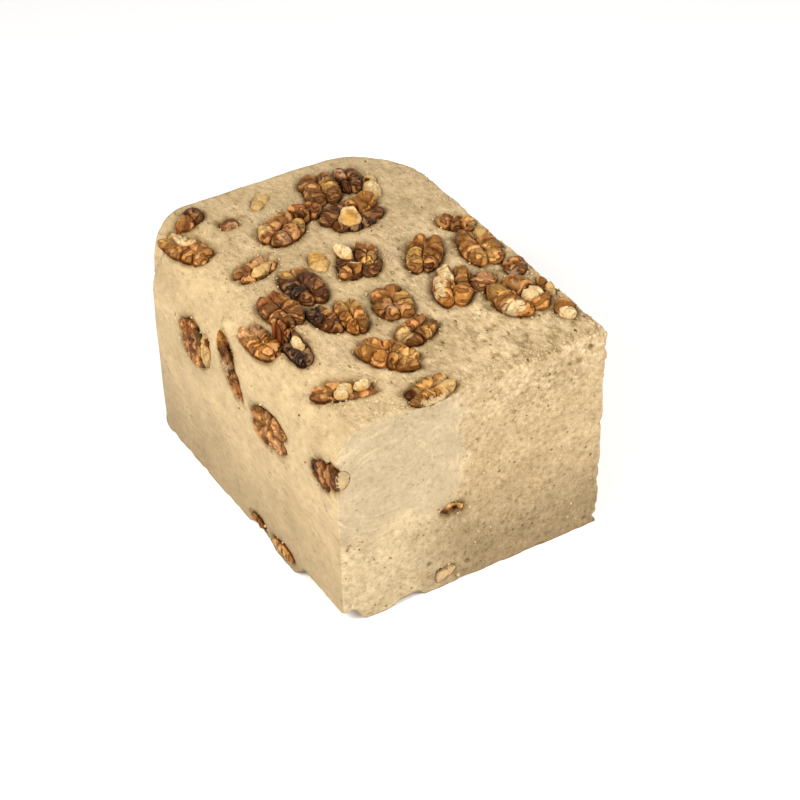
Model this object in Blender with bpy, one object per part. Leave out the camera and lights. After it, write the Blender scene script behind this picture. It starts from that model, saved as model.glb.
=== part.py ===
"""A block of sunflower halva studded with walnuts.

The block was pressed in a mould: its left and back faces are smooth, and its top left edge is a
broad round shoulder. Its front and right faces are cut and crumbly. Walnut kernels lie pressed
into the top, and a few show in the sides. Each kernel is a solid in a pocket of the block. Where
two kernels lie against or on each other, the one later in the table has its pocket in the other.

Lengths in the tables and formulas are millimetres, and the objects are built in metres, +Z up.
The origin is at the middle of the underside, and the cut front face looks along -Y.
"""

from collections import namedtuple
from math import cos, hypot, pi, radians, sin, sqrt
from random import Random

import bmesh
import bpy
from mathutils import Matrix, Vector, noise
from mathutils.bvhtree import BVHTree

MM = 0.001

# The block
WIDTH = 160.0
LENGTH = 218.7
HEIGHT = 127.3
LEAN = 2.7               # how far the left face leans out at the top
SHOULDER_FRONT = 20.6    # radius of the top left edge at the cut front face
SHOULDER_BACK = 40.0     # and at the back
CORNER_BACK_LEFT = 27.0  # radii of the upright corners
CORNER_BACK_RIGHT = 44.0
CORNER_CUT = 2.5
WORN_EDGE = 2.5          # radius of the other top edges
CELL = 11.5              # size of a facet
EDGE_ROW = 2.5           # width of the narrow row of facets along each edge
ON_BASE = 0.01           # a point this low lies in the underside

# Relief: all faces swell gently, and the cut faces are craggy
SWELL = 0.9
SWELL_SIZE = 34.0
CRAG = 1.2
CRAG_SIZE = 21.0
CRAG_SHIFT = Vector((31, 7, 3))   # keeps the crags off the swells
TOP_CRAG = 0.6           # share of the crags on the top
MOULDED_CRAG = 0.25      # and on the moulded faces

# The kernels
GAP = 0.35               # clearance between a kernel and its pocket
POCKET_MOUTH = 4.0       # how far a pocket's cutter stands out of the surface
LARGE = 20.0             # a kernel this long has the finer mesh
LOBE = 8.5               # spacing of the lobes along a kernel
ROW_REACH = 0.74         # where a row of lobes would end, as a share of the half length
ROW_APART = 0.48         # the two rows of a half kernel, as a share of its half width
ROW_TAPER = 0.72         # how much the rows draw together towards the ends
LOBE_SCATTER = 0.09      # how unevenly the lobes lie
LOBE_TURN = 34.0         # and how far they are turned, in degrees
LOBE_LONG = 1.45         # a lobe's reach along the kernel, as a share of half the spacing
LOBE_WIDE = 0.58         # its reach across, as a share of the half width, in two rows
LOBE_WIDE_ALONE = 0.95   # and in one row
LOBE_SIZES = (0.85, 1.12)
LOBE_HIGH = (0.72, 1.08)   # its height, as a share of the kernel's
CORE, CORE_HIGH = 0.6, 0.45   # the smooth core between the lobes, as shares of the outline and the height
LOBE_SEED = 60
BREAKS = 4               # flat breaks round a piece of a kernel
BREAK_TILT = (0.2, 1.6)  # how steeply they face up
BREAK_IN = (0.74, 0.9)   # where they cut, as a share of the outline
BREAK_SEED = 300
BOWL_FADE = 0.35         # the outline's notches fade out over this share of the depth
FLUSH = 0.3              # how far a cut kernel stands out of the cut front face
RAY_REACH = 60.0

# Rings of a kernel's mesh: their elevation above the outline, in degrees. The part in the pocket is plain.
LARGE_SIDES, LARGE_RINGS = 18, (60, 30, 0, -50)
SMALL_SIDES, SMALL_RINGS = 8, (42, 0, -50)
LARGE_POCKET_SIDES, SMALL_POCKET_SIDES = 10, 8
POCKET_RINGS = (0, -50)

Lobe = namedtuple("Lobe", "squeeze middle")

# Stretches of the underside's rim that are worn away: middle, reach along X and Y, height lost
Worn = namedtuple("Worn", "x y reach_x reach_y lost")
WORN_RIM = (
    Worn(-80, -92, 16, 34, 10.0),
    Worn(-80, -24, 12, 15, 4.5),
    Worn(-40, -109, 10, 12, 3.5),
    Worn(70, 100, 22, 20, 4.0),
)
WORN_FADE = 45.0         # height over which a worn stretch fades into the side

# A kernel's place on its face: across and up as seen on that face from outside the block, with X and Y
# on the top, Y and Z on the left and right, and X and Z on the front and back. Length and width are
# those of its outline; it rises above that outline by rise, reaches depth below it, and the outline
# lies sunk below the surface. turn is counterclockwise from the face's own right-hand direction.
Kernel = namedtuple("Kernel", "name face across up length width rise depth sunk turn form tone")
KERNELS = (
    Kernel("top_01", "top", -54, 95, 19, 14, 6, 4, 0, 20, "chunk", "dark"),
    Kernel("top_02", "top", -65, 77, 42, 18, 4, 5, 0, -70, "half", "amber"),
    Kernel("top_03", "top", -38, 80, 13, 10, 2, 5, 1, 10, "chunk", "brown"),
    Kernel("top_04", "top", -13, 90, 18, 9, 2, 4, 0, 40, "chunk", "pale"),
    Kernel("top_05", "top", 2, 66, 21, 15, 6, 5, 0, 10, "half", "brown"),
    Kernel("top_06", "top", -17, 58, 29, 23, 6, 5, 0, 25, "half", "brown"),
    Kernel("top_07", "top", 39, 82, 25, 15, 5, 4, 0, 72, "half", "dark"),
    Kernel("top_08", "top", 47.5, 71, 24, 11, 4, 4, 0, 75, "chunk", "pale"),
    Kernel("top_09", "top", 23, 51, 39, 28, 3, 6, 0, 10, "half", "dark"),
    Kernel("top_10", "top", 21, 82, 34, 23, 7, 5, 0, 75, "half", "brown"),
    Kernel("top_11", "top", 32, 56, 20, 15, 6, 4, -2, 10, "chunk", "amber"),
    Kernel("top_12", "top", 20, 48, 17, 14, 6, 4, -2, 60, "chunk", "pale"),
    Kernel("top_13", "top", -46, 35, 27, 17, 2.5, 6, 1.5, 15, "half", "brown"),
    Kernel("top_14", "top", -44, 32, 15, 8, 3, 3, 0, 20, "chunk", "pale"),
    Kernel("top_15", "top", -15, 22, 17, 13, 3, 5, 0, 80, "chunk", "pale"),
    Kernel("top_16", "top", 3, 11, 31, 25, 3, 6, 0.5, 70, "half", "dark"),
    Kernel("top_17", "top", 9.5, 14, 21, 12, 5, 4, -1, 66, "half", "brown"),
    Kernel("top_18", "top", 0, 21, 15, 8, 5, 3, -2, 95, "chunk", "pale"),
    Kernel("top_19", "top", -6, 5, 16, 10, 5, 3, -1, 15, "chunk", "amber"),
    Kernel("top_20", "top", -33.5, 6, 37, 21, 6, 5, 0, 90, "half", "dark"),
    Kernel("top_21", "top", -54, -6, 33, 20, 6, 5, 0, 95, "half", "brown"),
    Kernel("top_22", "top", -38, -25, 27, 14, 5, 4, 0, 105, "half", "dark"),
    Kernel("top_23", "top", -26, -30, 30, 15, 7, 4, 0, 80, "half", "amber"),
    Kernel("top_24", "top", -62, -35, 41, 12, 4, 5, 0, 85, "half", "dark"),
    Kernel("top_25", "top", -63, -23, 19, 8, 6, 3, -1, 80, "half", "brown"),
    Kernel("top_26", "top", -72, -17, 34, 16, 5, 5, 0, 95, "half", "amber"),
    Kernel("top_27", "top", -61.5, -37, 12, 6, 3, 2, -3, 85, "chunk", "pale"),
    Kernel("top_28", "top", -60, -79, 36, 14, 2.5, 6, 1.5, -25, "half", "brown"),
    Kernel("top_29", "top", -61, -81, 12, 9, 3.5, 3, -0.5, 30, "chunk", "pale"),
    Kernel("top_30", "top", -51, -82, 10, 7, 3, 2.5, -1, 10, "chunk", "pale"),
    Kernel("top_31", "top", -24.5, -102.5, 30, 17, 4, 6, 0, 5, "half", "amber"),
    Kernel("top_32", "top", -4, -58, 27, 17, 5, 5, 0, 20, "half", "brown"),
    Kernel("top_33", "top", -26.5, -68, 37, 20, 6, 5, 0, -55, "half", "amber"),
    Kernel("top_34", "top", -2, -32, 31, 21, 6, 5, 0, 80, "half", "amber"),
    Kernel("top_35", "top", 36, -2, 34, 20, 7, 5, 0, 50, "half", "amber"),
    Kernel("top_36", "top", 33, -35, 36, 22, 8, 5, 0, 60, "half", "amber"),
    Kernel("top_37", "top", 49, -39, 19, 15, 4, 4, 0, 30, "chunk", "brown"),
    Kernel("top_38", "top", 67, 14, 22, 13, 5, 5, 0, -45, "half", "brown"),
    Kernel("top_39", "top", 65, -12, 36, 23, 6, 5, 0, 80, "half", "amber"),
    Kernel("top_40", "top", 71, -36, 16, 13, 5, 4, 0, 60, "chunk", "brown"),
    Kernel("top_41", "top", 57, -60, 35, 31, 6, 6, 0, 100, "half", "amber"),
    Kernel("top_42", "top", 63.5, -64, 14, 12, 5, 3, -2, 20, "chunk", "pale"),
    Kernel("top_43", "top", 74.5, -60, 18, 7, 5, 4, 0, 85, "chunk", "amber"),
    Kernel("top_44", "top", 71.5, -82, 18, 12, 4, 4, 0, 70, "chunk", "amber"),
    Kernel("left_01", "left", 42, 88, 31, 27, 1, 7, 0, 5, "half", "brown"),
    Kernel("left_02", "left", 28, 91, 23, 11, 1, 6, 0, 85, "chunk", "pale"),
    Kernel("left_03", "left", 1, 98, 43, 13, 1, 6, 0, -52, "half", "dark"),
    Kernel("left_04", "left", -41, 85, 41, 22, 1.5, 6, 0, 10, "half", "brown"),
    Kernel("left_05", "left", -99, 96, 31, 19, 1.5, 11, 0, 25, "chunk", "dark"),
    Kernel("left_06", "left", -47, 7.5, 25, 7, 2, 5, 0, 3, "chunk", "amber"),
    Kernel("left_07", "left", -21, 8, 17, 6, 1.5, 4, 0, -5, "chunk", "dark"),
    Kernel("front_01", "front", -14, 51, 15, 8, 1.5, 5, 1, -10, "chunk", "brown"),
    Kernel("front_02", "front", -18, 8.5, 14, 8, 2.5, 4, 0, 15, "chunk", "pale"),
    Kernel("right_01", "right", 42, 84, 30, 18, 1.5, 6, 0, 20, "half", "brown"),
    Kernel("right_02", "right", -24, 58, 25, 15, 1.5, 6, 0, -35, "half", "amber"),
    Kernel("back_01", "back", -24, 84, 28, 17, 1, 6, 0, 15, "half", "amber"),
    Kernel("back_02", "back", 26, 52, 25, 14, 1, 6, 0, -40, "half", "brown"),
)

# Finish of each material: colour (linear), roughness
FINISHES = {
    "halva": ((0.60, 0.45, 0.26), 0.85),
    "amber": ((0.42, 0.16, 0.035), 0.45),
    "brown": ((0.24, 0.085, 0.03), 0.5),
    "dark": ((0.07, 0.025, 0.014), 0.45),
    "pale": ((0.66, 0.45, 0.20), 0.55),
}


def make_material(name):
    """A plain Principled finish from the table above."""
    color, roughness = FINISHES[name]
    material = bpy.data.materials.new(name)
    material.use_nodes = True
    shader = material.node_tree.nodes["Principled BSDF"]
    shader.inputs["Base Color"].default_value = (*color, 1)
    shader.inputs["Roughness"].default_value = roughness
    shader.inputs["Metallic"].default_value = 0
    return material


def slices(low, high):
    """Where a box is sliced between two faces: a narrow row at each end and even cells between."""
    first, last = low + EDGE_ROW, high - EDGE_ROW
    cells = max(1, round((last - first) / CELL))
    return [first + (last - first) * i / cells for i in range(cells + 1)]


def sliced_box():
    """A box of the block's size, its faces divided into cells."""
    box = bmesh.new()
    bmesh.ops.create_cube(box, size=1)
    bmesh.ops.scale(box, vec=(WIDTH, LENGTH, HEIGHT), verts=box.verts)
    bmesh.ops.translate(box, vec=(0, 0, HEIGHT / 2), verts=box.verts)
    for axis, low, high in ((0, -WIDTH / 2, WIDTH / 2), (1, -LENGTH / 2, LENGTH / 2), (2, 0, HEIGHT)):
        normal = Vector((0, 0, 0))
        normal[axis] = 1
        for place in slices(low, high):
            geometry = box.verts[:] + box.edges[:] + box.faces[:]
            bmesh.ops.bisect_plane(box, geom=geometry, plane_co=normal * place, plane_no=normal)
    return box


def round_corner(a, b, side_a, side_b, half_a, half_b, radius):
    """Draw a point in from the sharp corner of two faces on to an arc of this radius."""
    over_a = a * side_a - (half_a - radius)
    over_b = b * side_b - (half_b - radius)
    if over_a <= 0 or over_b <= 0:
        return a, b
    share = max(over_a, over_b) / hypot(over_a, over_b)
    return ((half_a - radius + over_a * share) * side_a, (half_b - radius + over_b * share) * side_b)


def press(x, y, z):
    """Carry a point of the sharp box to the pressed block's rounded and leaning faces."""
    half_w, half_l, half_h = WIDTH / 2, LENGTH / 2, HEIGHT / 2
    z -= half_h
    back = y / LENGTH + 0.5
    shoulder = SHOULDER_FRONT + (SHOULDER_BACK - SHOULDER_FRONT) * back
    x, z = round_corner(x, z, -1, 1, half_w, half_h, shoulder)
    x, z = round_corner(x, z, 1, 1, half_w, half_h, WORN_EDGE)
    y, z = round_corner(y, z, 1, 1, half_l, half_h, WORN_EDGE)
    y, z = round_corner(y, z, -1, 1, half_l, half_h, WORN_EDGE)
    x, y = round_corner(x, y, -1, 1, half_w, half_l, CORNER_BACK_LEFT)
    x, y = round_corner(x, y, 1, 1, half_w, half_l, CORNER_BACK_RIGHT)
    x, y = round_corner(x, y, -1, -1, half_w, half_l, CORNER_CUT)
    x, y = round_corner(x, y, 1, -1, half_w, half_l, CORNER_CUT)
    z += half_h
    x -= LEAN * (z / HEIGHT) * (half_w - x) / WIDTH
    return Vector((x, y, z))


def worn_height(x, y):
    """Height that the underside has lost at this place of its rim."""
    lost = 0
    for worn in WORN_RIM:
        distance = hypot((x - worn.x) / worn.reach_x, (y - worn.y) / worn.reach_y)
        fade = min(max((distance - 0.6) / 0.4, 0), 1)
        lost = max(lost, worn.lost * (1 - fade * fade * (3 - 2 * fade)))
    return lost


def relief(point, normal):
    """How far the surface stands out of the pressed shape here."""
    cut = max(normal.x, -normal.y, TOP_CRAG * normal.z, MOULDED_CRAG)
    crag = CRAG * cut * noise.noise(point / CRAG_SIZE + CRAG_SHIFT)
    return SWELL * noise.noise(point / SWELL_SIZE) + crag


def pressed_block():
    """The pressed block with its relief and worn rim, and its smooth surface for seating kernels."""
    block = sliced_box()
    for vert in block.verts:
        vert.co = press(*vert.co)
    block.normal_update()
    surface = BVHTree.FromBMesh(block)
    moved = []
    for vert in block.verts:
        shift = vert.normal * relief(vert.co, vert.normal)
        if vert.co.z < ON_BASE:
            shift.z = 0
        shift.z += worn_height(vert.co.x, vert.co.y) * max(0, 1 - vert.co.z / WORN_FADE)
        moved.append(vert.co + shift)
    for vert, place in zip(block.verts, moved):
        vert.co = place
    underside = [face for face in block.faces if all(vert.co.z < ON_BASE for vert in face.verts)]
    bmesh.ops.dissolve_faces(block, faces=underside)
    bmesh.ops.triangulate(block, faces=block.faces)
    bmesh.ops.scale(block, vec=(MM, MM, MM), verts=block.verts)
    return block, surface


def face_frame(kernel):
    """The point outside the block that faces the kernel, the way in, and the face's right hand."""
    x_out, y_out = WIDTH / 2 + RAY_REACH, LENGTH / 2 + RAY_REACH
    across, up = kernel.across, kernel.up
    return {
        "top": (Vector((across, up, HEIGHT + RAY_REACH)), Vector((0, 0, -1)), Vector((1, 0, 0))),
        "left": (Vector((-x_out, across, up)), Vector((1, 0, 0)), Vector((0, -1, 0))),
        "right": (Vector((x_out, across, up)), Vector((-1, 0, 0)), Vector((0, 1, 0))),
        "front": (Vector((across, -y_out, up)), Vector((0, 1, 0)), Vector((1, 0, 0))),
        "back": (Vector((across, y_out, up)), Vector((0, -1, 0)), Vector((-1, 0, 0))),
    }[kernel.face]


def seat(kernel, surface):
    """Place and turn of a kernel whose own axes are its length, its width and the way out."""
    start, way_in, right = face_frame(kernel)
    point, out, _, _ = surface.ray_cast(start, way_in)
    right = (right - out * right.dot(out)).normalized()
    forward = out.cross(right)
    turn = radians(kernel.turn)
    along = right * cos(turn) + forward * sin(turn)
    sideways = out.cross(along)
    matrix = Matrix((along, sideways, out)).transposed().to_4x4()
    matrix.translation = (point - out * kernel.sunk) * MM
    return matrix


def make_lobe(x, y, turn, reach):
    """A lobe: the matrix that turns it into a unit ball, and its middle there."""
    squeeze = Matrix.Diagonal([1 / r for r in reach]) @ Matrix.Rotation(-turn, 3, "Z")
    return Lobe(squeeze, squeeze @ Vector((x, y, 0)))


def kernel_lobes(kernel, seed):
    """The plump lobes of a kernel, in two rows if it is a half, round a smooth core."""
    draw = Random(seed + LOBE_SEED)
    half_length, half_width = kernel.length / 2, kernel.width / 2
    count = max(2, round(kernel.length / LOBE))
    sides, wide = ((-1, 1), LOBE_WIDE) if kernel.form == "half" else ((0,), LOBE_WIDE_ALONE)
    lobes = [make_lobe(0, 0, 0, (CORE * half_length, CORE * half_width, CORE_HIGH * kernel.rise))]
    for side in sides:
        for i in range(count):
            share = (2 * i + 1) / count - 1
            taper = sqrt(1 - (ROW_TAPER * share) ** 2)
            x = (share * ROW_REACH + draw.uniform(-LOBE_SCATTER, LOBE_SCATTER)) * half_length
            y = (side * ROW_APART * taper + draw.uniform(-LOBE_SCATTER, LOBE_SCATTER)) * half_width
            turn = radians(draw.uniform(-LOBE_TURN, LOBE_TURN))
            high = kernel.rise * draw.uniform(*LOBE_HIGH)
            size = draw.uniform(*LOBE_SIZES)
            reach = (half_length / count * LOBE_LONG * size, half_width * wide * taper * size, high)
            lobes.append(make_lobe(x, y, turn, reach))
    return lobes


def kernel_breaks(kernel, seed):
    """The flat breaks of a piece: the way each one faces and how far it lies from the piece's middle."""
    draw = Random(seed + BREAK_SEED)
    breaks = []
    for _ in range(BREAKS if kernel.form == "chunk" else 0):
        turn = draw.uniform(0, 2 * pi)
        tilt = draw.uniform(*BREAK_TILT) / kernel.length
        way = Vector((cos(turn) / kernel.length, sin(turn) / kernel.width, tilt)).normalized()
        outline = Vector((way.x * kernel.length / 2, way.y * kernel.width / 2, way.z * kernel.rise)).length
        breaks.append((way, outline * draw.uniform(*BREAK_IN)))
    return breaks


def lobe_end(way, lobe):
    """How far along this way from the kernel's middle the lobe ends, 0 if it isn't met."""
    ray = lobe.squeeze @ way
    a, b, c = ray.dot(ray), ray.dot(lobe.middle), lobe.middle.dot(lobe.middle) - 1
    met = b * b - a * c
    return max(0, (b + sqrt(met)) / a) if met > 0 else 0


def kernel_spot(direction, kernel, lobes, breaks):
    """The kernel's surface in this direction of its unit sphere: lobes above its outline and a bowl below."""
    half_length, half_width = kernel.length / 2, kernel.width / 2
    upper = direction.z >= 0
    smooth = direction * Vector((half_length, half_width, kernel.rise if upper else kernel.depth))
    if direction.z < -BOWL_FADE:
        return smooth
    way = smooth.normalized() if upper else Vector((smooth.x, smooth.y, 0)).normalized()
    end = max(lobe_end(way, lobe) for lobe in lobes)
    across = hypot(way.x / half_length, way.y / half_width)
    share = min(1, end * across)
    if upper:
        spot = way * (share / across) if across > 0 else way * end
    else:
        spot = smooth * (share + (1 - share) * -direction.z / BOWL_FADE)
    for facing, distance in breaks:
        spot -= facing * max(0, spot.dot(facing) - distance)
    return spot


def closed_rings(name, rings, top, bottom):
    """A closed mesh from rings of points, highest first, with a point above and one below them."""
    shape = bmesh.new()
    rings = [[shape.verts.new(co * MM) for co in ring] for ring in rings]
    sides = len(rings[0])
    for upper, lower in zip(rings, rings[1:]):
        for i in range(sides):
            shape.faces.new((upper[i], lower[i], lower[i - sides + 1], upper[i - sides + 1]))
    for co, ring, turned in ((top, rings[0], False), (bottom, rings[-1], True)):
        tip = shape.verts.new(co * MM)
        for i in range(sides):
            pair = (ring[i - sides + 1], ring[i]) if turned else (ring[i], ring[i - sides + 1])
            shape.faces.new((tip, *pair))
    bmesh.ops.triangulate(shape, faces=shape.faces)
    mesh = bpy.data.meshes.new(name)
    shape.to_mesh(mesh)
    shape.free()
    return mesh


def ring_directions(elevation, sides):
    """Unit directions round one ring, starting along the kernel's length."""
    level = radians(elevation)
    turns = (2 * pi * i / sides for i in range(sides))
    return [Vector((cos(level) * cos(t), cos(level) * sin(t), sin(level))) for t in turns]


def kernel_mesh(kernel, seed, matrix):
    """A kernel: lobes above its outline and a plain bowl below, cut flush at the front face."""
    sides, elevations = (SMALL_SIDES, SMALL_RINGS)
    if kernel.length >= LARGE:
        sides, elevations = (LARGE_SIDES, LARGE_RINGS)
    lobes = kernel_lobes(kernel, seed)
    breaks = kernel_breaks(kernel, seed)
    front = -LENGTH / 2 - FLUSH
    inverse = matrix.inverted()

    def place(direction):
        spot = kernel_spot(direction, kernel, lobes, breaks)
        world = matrix @ (spot * MM)
        if world.y < front * MM:
            world.y = front * MM
            spot = inverse @ world / MM
        return spot

    rings = [[place(direction) for direction in ring_directions(e, sides)] for e in elevations]
    return closed_rings(kernel.name, rings, place(Vector((0, 0, 1))), place(Vector((0, 0, -1))))


def pocket_mesh(kernel):
    """The cutter of a kernel's pocket: a bowl under the outline and a straight wall up from it."""
    sides = LARGE_POCKET_SIDES if kernel.length >= LARGE else SMALL_POCKET_SIDES
    round_out = 1 / cos(pi / sides)
    half_length = kernel.length / 2 * round_out + GAP
    half_width = kernel.width / 2 * round_out + GAP
    depth = kernel.depth + GAP
    mouth = max(kernel.rise, kernel.sunk) + POCKET_MOUTH

    def place(direction, height):
        return Vector((direction.x * half_length, direction.y * half_width, height))

    rings = [[place(direction, mouth) for direction in ring_directions(0, sides)]]
    for elevation in POCKET_RINGS:
        rings.append([place(d, d.z * depth) for d in ring_directions(elevation, sides)])
    return closed_rings("pocket_" + kernel.name, rings, Vector((0, 0, mouth)), Vector((0, 0, -depth)))


def add_object(name, mesh, collection, matrix, parent=None):
    """An object with this mesh, placed by its matrix."""
    thing = bpy.data.objects.new(name, mesh)
    collection.objects.link(thing)
    thing.parent = parent
    thing.matrix_world = matrix
    return thing


def add_cut(thing, name):
    """A Boolean that cuts something out of an object."""
    boolean = thing.modifiers.new(name, "BOOLEAN")
    boolean.operation = "DIFFERENCE"
    boolean.solver = "EXACT"
    return boolean


def add_block(pockets, material, parent):
    """The halva itself, with a pocket cut for each kernel. Returns its smooth surface too."""
    shape, surface = pressed_block()
    mesh = bpy.data.meshes.new("halva_block")
    shape.to_mesh(mesh)
    shape.free()
    mesh.materials.append(material)
    block = add_object("halva_block", mesh, bpy.context.scene.collection, Matrix(), parent)
    boolean = add_cut(block, "pockets")
    boolean.operand_type = "COLLECTION"
    boolean.collection = pockets
    return surface


def add_kernels(surface, pockets, materials, parent):
    """The walnut kernels and the cutters of their pockets."""
    seated = []
    for seed, kernel in enumerate(KERNELS):
        matrix = seat(kernel, surface)
        mesh = kernel_mesh(kernel, seed, matrix)
        mesh.materials.append(materials[kernel.tone])
        mesh.shade_smooth()
        piece = add_object("walnut_" + kernel.name, mesh, bpy.context.scene.collection, matrix, parent)
        cutter = add_object("pocket_" + kernel.name, pocket_mesh(kernel), pockets, matrix)
        cutter.hide_render = True
        cutter.display_type = "WIRE"
        for other, other_length in seated:
            apart = (other.location - piece.location).length
            if apart < (other_length + kernel.length) / 2 * MM:
                add_cut(other, "beside_" + kernel.name).object = cutter
        seated.append((piece, kernel.length))


def build():
    """The whole halva under one empty."""
    for thing in list(bpy.data.objects):
        bpy.data.objects.remove(thing, do_unlink=True)
    collection = bpy.context.scene.collection
    halva = bpy.data.objects.new("halva", None)
    collection.objects.link(halva)
    pockets = bpy.data.collections.new("pockets")
    collection.children.link(pockets)
    materials = {name: make_material(name) for name in FINISHES}
    surface = add_block(pockets, materials["halva"], halva)
    add_kernels(surface, pockets, materials, halva)


build()
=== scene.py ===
"""The looks of a block of sunflower halva studded with walnuts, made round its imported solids.

Lengths in the tables and formulas are millimetres, and meshes are made in metres, +Z up. The cut
front face looks along -Y, and the left face is smooth from the mould.
"""

from collections import namedtuple
from math import atan2, cos, exp, hypot, pi, radians, sin, sqrt
from random import Random

import bmesh
import bpy
from mathutils import Matrix, Vector, kdtree, noise
from mathutils.bvhtree import BVHTree


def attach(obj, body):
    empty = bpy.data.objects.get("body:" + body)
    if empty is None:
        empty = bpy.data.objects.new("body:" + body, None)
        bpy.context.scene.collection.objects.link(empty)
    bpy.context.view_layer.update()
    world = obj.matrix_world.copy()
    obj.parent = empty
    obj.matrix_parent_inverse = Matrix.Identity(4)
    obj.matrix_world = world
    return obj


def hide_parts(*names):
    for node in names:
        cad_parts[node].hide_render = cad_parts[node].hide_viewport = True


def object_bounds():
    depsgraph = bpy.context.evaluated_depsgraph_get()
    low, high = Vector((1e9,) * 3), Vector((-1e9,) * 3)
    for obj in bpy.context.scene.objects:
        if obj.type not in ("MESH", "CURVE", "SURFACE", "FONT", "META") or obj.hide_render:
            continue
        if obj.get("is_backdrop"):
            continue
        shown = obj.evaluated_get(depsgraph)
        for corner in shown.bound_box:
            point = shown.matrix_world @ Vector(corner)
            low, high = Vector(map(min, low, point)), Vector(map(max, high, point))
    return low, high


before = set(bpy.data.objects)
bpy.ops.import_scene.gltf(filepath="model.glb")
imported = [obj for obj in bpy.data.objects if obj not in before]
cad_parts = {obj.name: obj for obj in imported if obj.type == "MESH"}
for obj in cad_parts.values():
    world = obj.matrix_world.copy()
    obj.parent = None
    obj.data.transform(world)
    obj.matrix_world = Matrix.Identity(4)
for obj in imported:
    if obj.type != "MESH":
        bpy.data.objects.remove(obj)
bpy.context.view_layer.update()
MM = 0.001

# The halva: ground sunflower seeds and boiled sugar, pressed into a mould while warm and turned out
# as a block. The left and back faces keep the mould's smoothness, the front and right ones are cut
# and crumbly, and a knife has smeared the upper left of the front.
WIDTH = 160.0
LENGTH = 218.7
HEIGHT = 127.3
LEAN = 2.7               # how far the left face leans out at the top
SHOULDER_FRONT = 20.6    # radius of the top left edge at the cut front face
SHOULDER_BACK = 40.0     # and at the back
CORNER_BACK_LEFT = 27.0  # radii of the upright corners
CORNER_BACK_RIGHT = 44.0
CORNER_CUT = 2.5
WORN_EDGE = 2.5          # radius of the other top edges
COARSE_CELL = 11.5       # the solid's facets, on which the kernels are seated
EDGE_ROW = 2.5
FINE_CELL = 1.17
ON_BASE = 0.01           # a point this low lies in the underside

SWELL, SWELL_SIZE = 0.9, 34.0
CRAG, CRAG_SIZE, CRAG_SHIFT = 1.2, 21.0, Vector((31, 7, 3))
TOP_CRAG = 0.6           # share of the crags on the top
MOULDED_CRAG = 0.25      # and on the moulded faces

Worn = namedtuple("Worn", "x y reach_x reach_y lost")
WORN_RIM = (             # stretches of the underside's rim that are worn away
    Worn(-80, -92, 16, 34, 10.0),
    Worn(-80, -24, 12, 15, 4.5),
    Worn(-40, -109, 10, 12, 3.5),
    Worn(70, 100, 22, 20, 4.0),
)
WORN_FADE = 45.0         # height over which a worn stretch fades into the side


def slices(low, high):
    """Where the solid's box is sliced: a narrow row at each end and even cells between."""
    first, last = low + EDGE_ROW, high - EDGE_ROW
    cells = max(1, round((last - first) / COARSE_CELL))
    return [first + (last - first) * i / cells for i in range(cells + 1)]


def sharp_box():
    """A plain box of the block's size."""
    box = bmesh.new()
    bmesh.ops.create_cube(box, size=1)
    bmesh.ops.scale(box, vec=(WIDTH, LENGTH, HEIGHT), verts=box.verts)
    bmesh.ops.translate(box, vec=(0, 0, HEIGHT / 2), verts=box.verts)
    return box


def round_corner(a, b, side_a, side_b, half_a, half_b, radius):
    """Draw a point in from the sharp corner of two faces on to an arc of this radius."""
    over_a = a * side_a - (half_a - radius)
    over_b = b * side_b - (half_b - radius)
    if over_a <= 0 or over_b <= 0:
        return a, b
    share = max(over_a, over_b) / hypot(over_a, over_b)
    return ((half_a - radius + over_a * share) * side_a, (half_b - radius + over_b * share) * side_b)


def press(x, y, z):
    """Carry a point of the sharp box to the pressed block's rounded and leaning faces."""
    half_w, half_l, half_h = WIDTH / 2, LENGTH / 2, HEIGHT / 2
    z -= half_h
    back = y / LENGTH + 0.5
    shoulder = SHOULDER_FRONT + (SHOULDER_BACK - SHOULDER_FRONT) * back
    x, z = round_corner(x, z, -1, 1, half_w, half_h, shoulder)
    x, z = round_corner(x, z, 1, 1, half_w, half_h, WORN_EDGE)
    y, z = round_corner(y, z, 1, 1, half_l, half_h, WORN_EDGE)
    y, z = round_corner(y, z, -1, 1, half_l, half_h, WORN_EDGE)
    x, y = round_corner(x, y, -1, 1, half_w, half_l, CORNER_BACK_LEFT)
    x, y = round_corner(x, y, 1, 1, half_w, half_l, CORNER_BACK_RIGHT)
    x, y = round_corner(x, y, -1, -1, half_w, half_l, CORNER_CUT)
    x, y = round_corner(x, y, 1, -1, half_w, half_l, CORNER_CUT)
    z += half_h
    x -= LEAN * (z / HEIGHT) * (half_w - x) / WIDTH
    return Vector((x, y, z))


def worn_height(x, y):
    """Height that the underside has lost at this place of its rim."""
    lost = 0
    for worn in WORN_RIM:
        distance = hypot((x - worn.x) / worn.reach_x, (y - worn.y) / worn.reach_y)
        fade = min(max((distance - 0.6) / 0.4, 0), 1)
        lost = max(lost, worn.lost * (1 - fade * fade * (3 - 2 * fade)))
    return lost


def ease(low, high, value):
    """0 below low, 1 above high and smooth between."""
    share = min(max((value - low) / (high - low), 0), 1)
    return share * share * (3 - 2 * share)


SMEAR_RIGHT, SMEAR_BELOW = -12.0, 57.0   # where the knife's smear ends on the front face
SMEAR_FADE, SMEAR_RAGGED = 9.0, 8.0
DRAGGED, DRAGGED_FADE = 0.4, (-75.0, 25.0)   # below it the blade has dragged less
SMEAR_MIDDLE = (-54, -109, 88)           # the knife's arcs run round this place
SMEAR_ARCS = 360.0                       # this many to the metre


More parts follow.
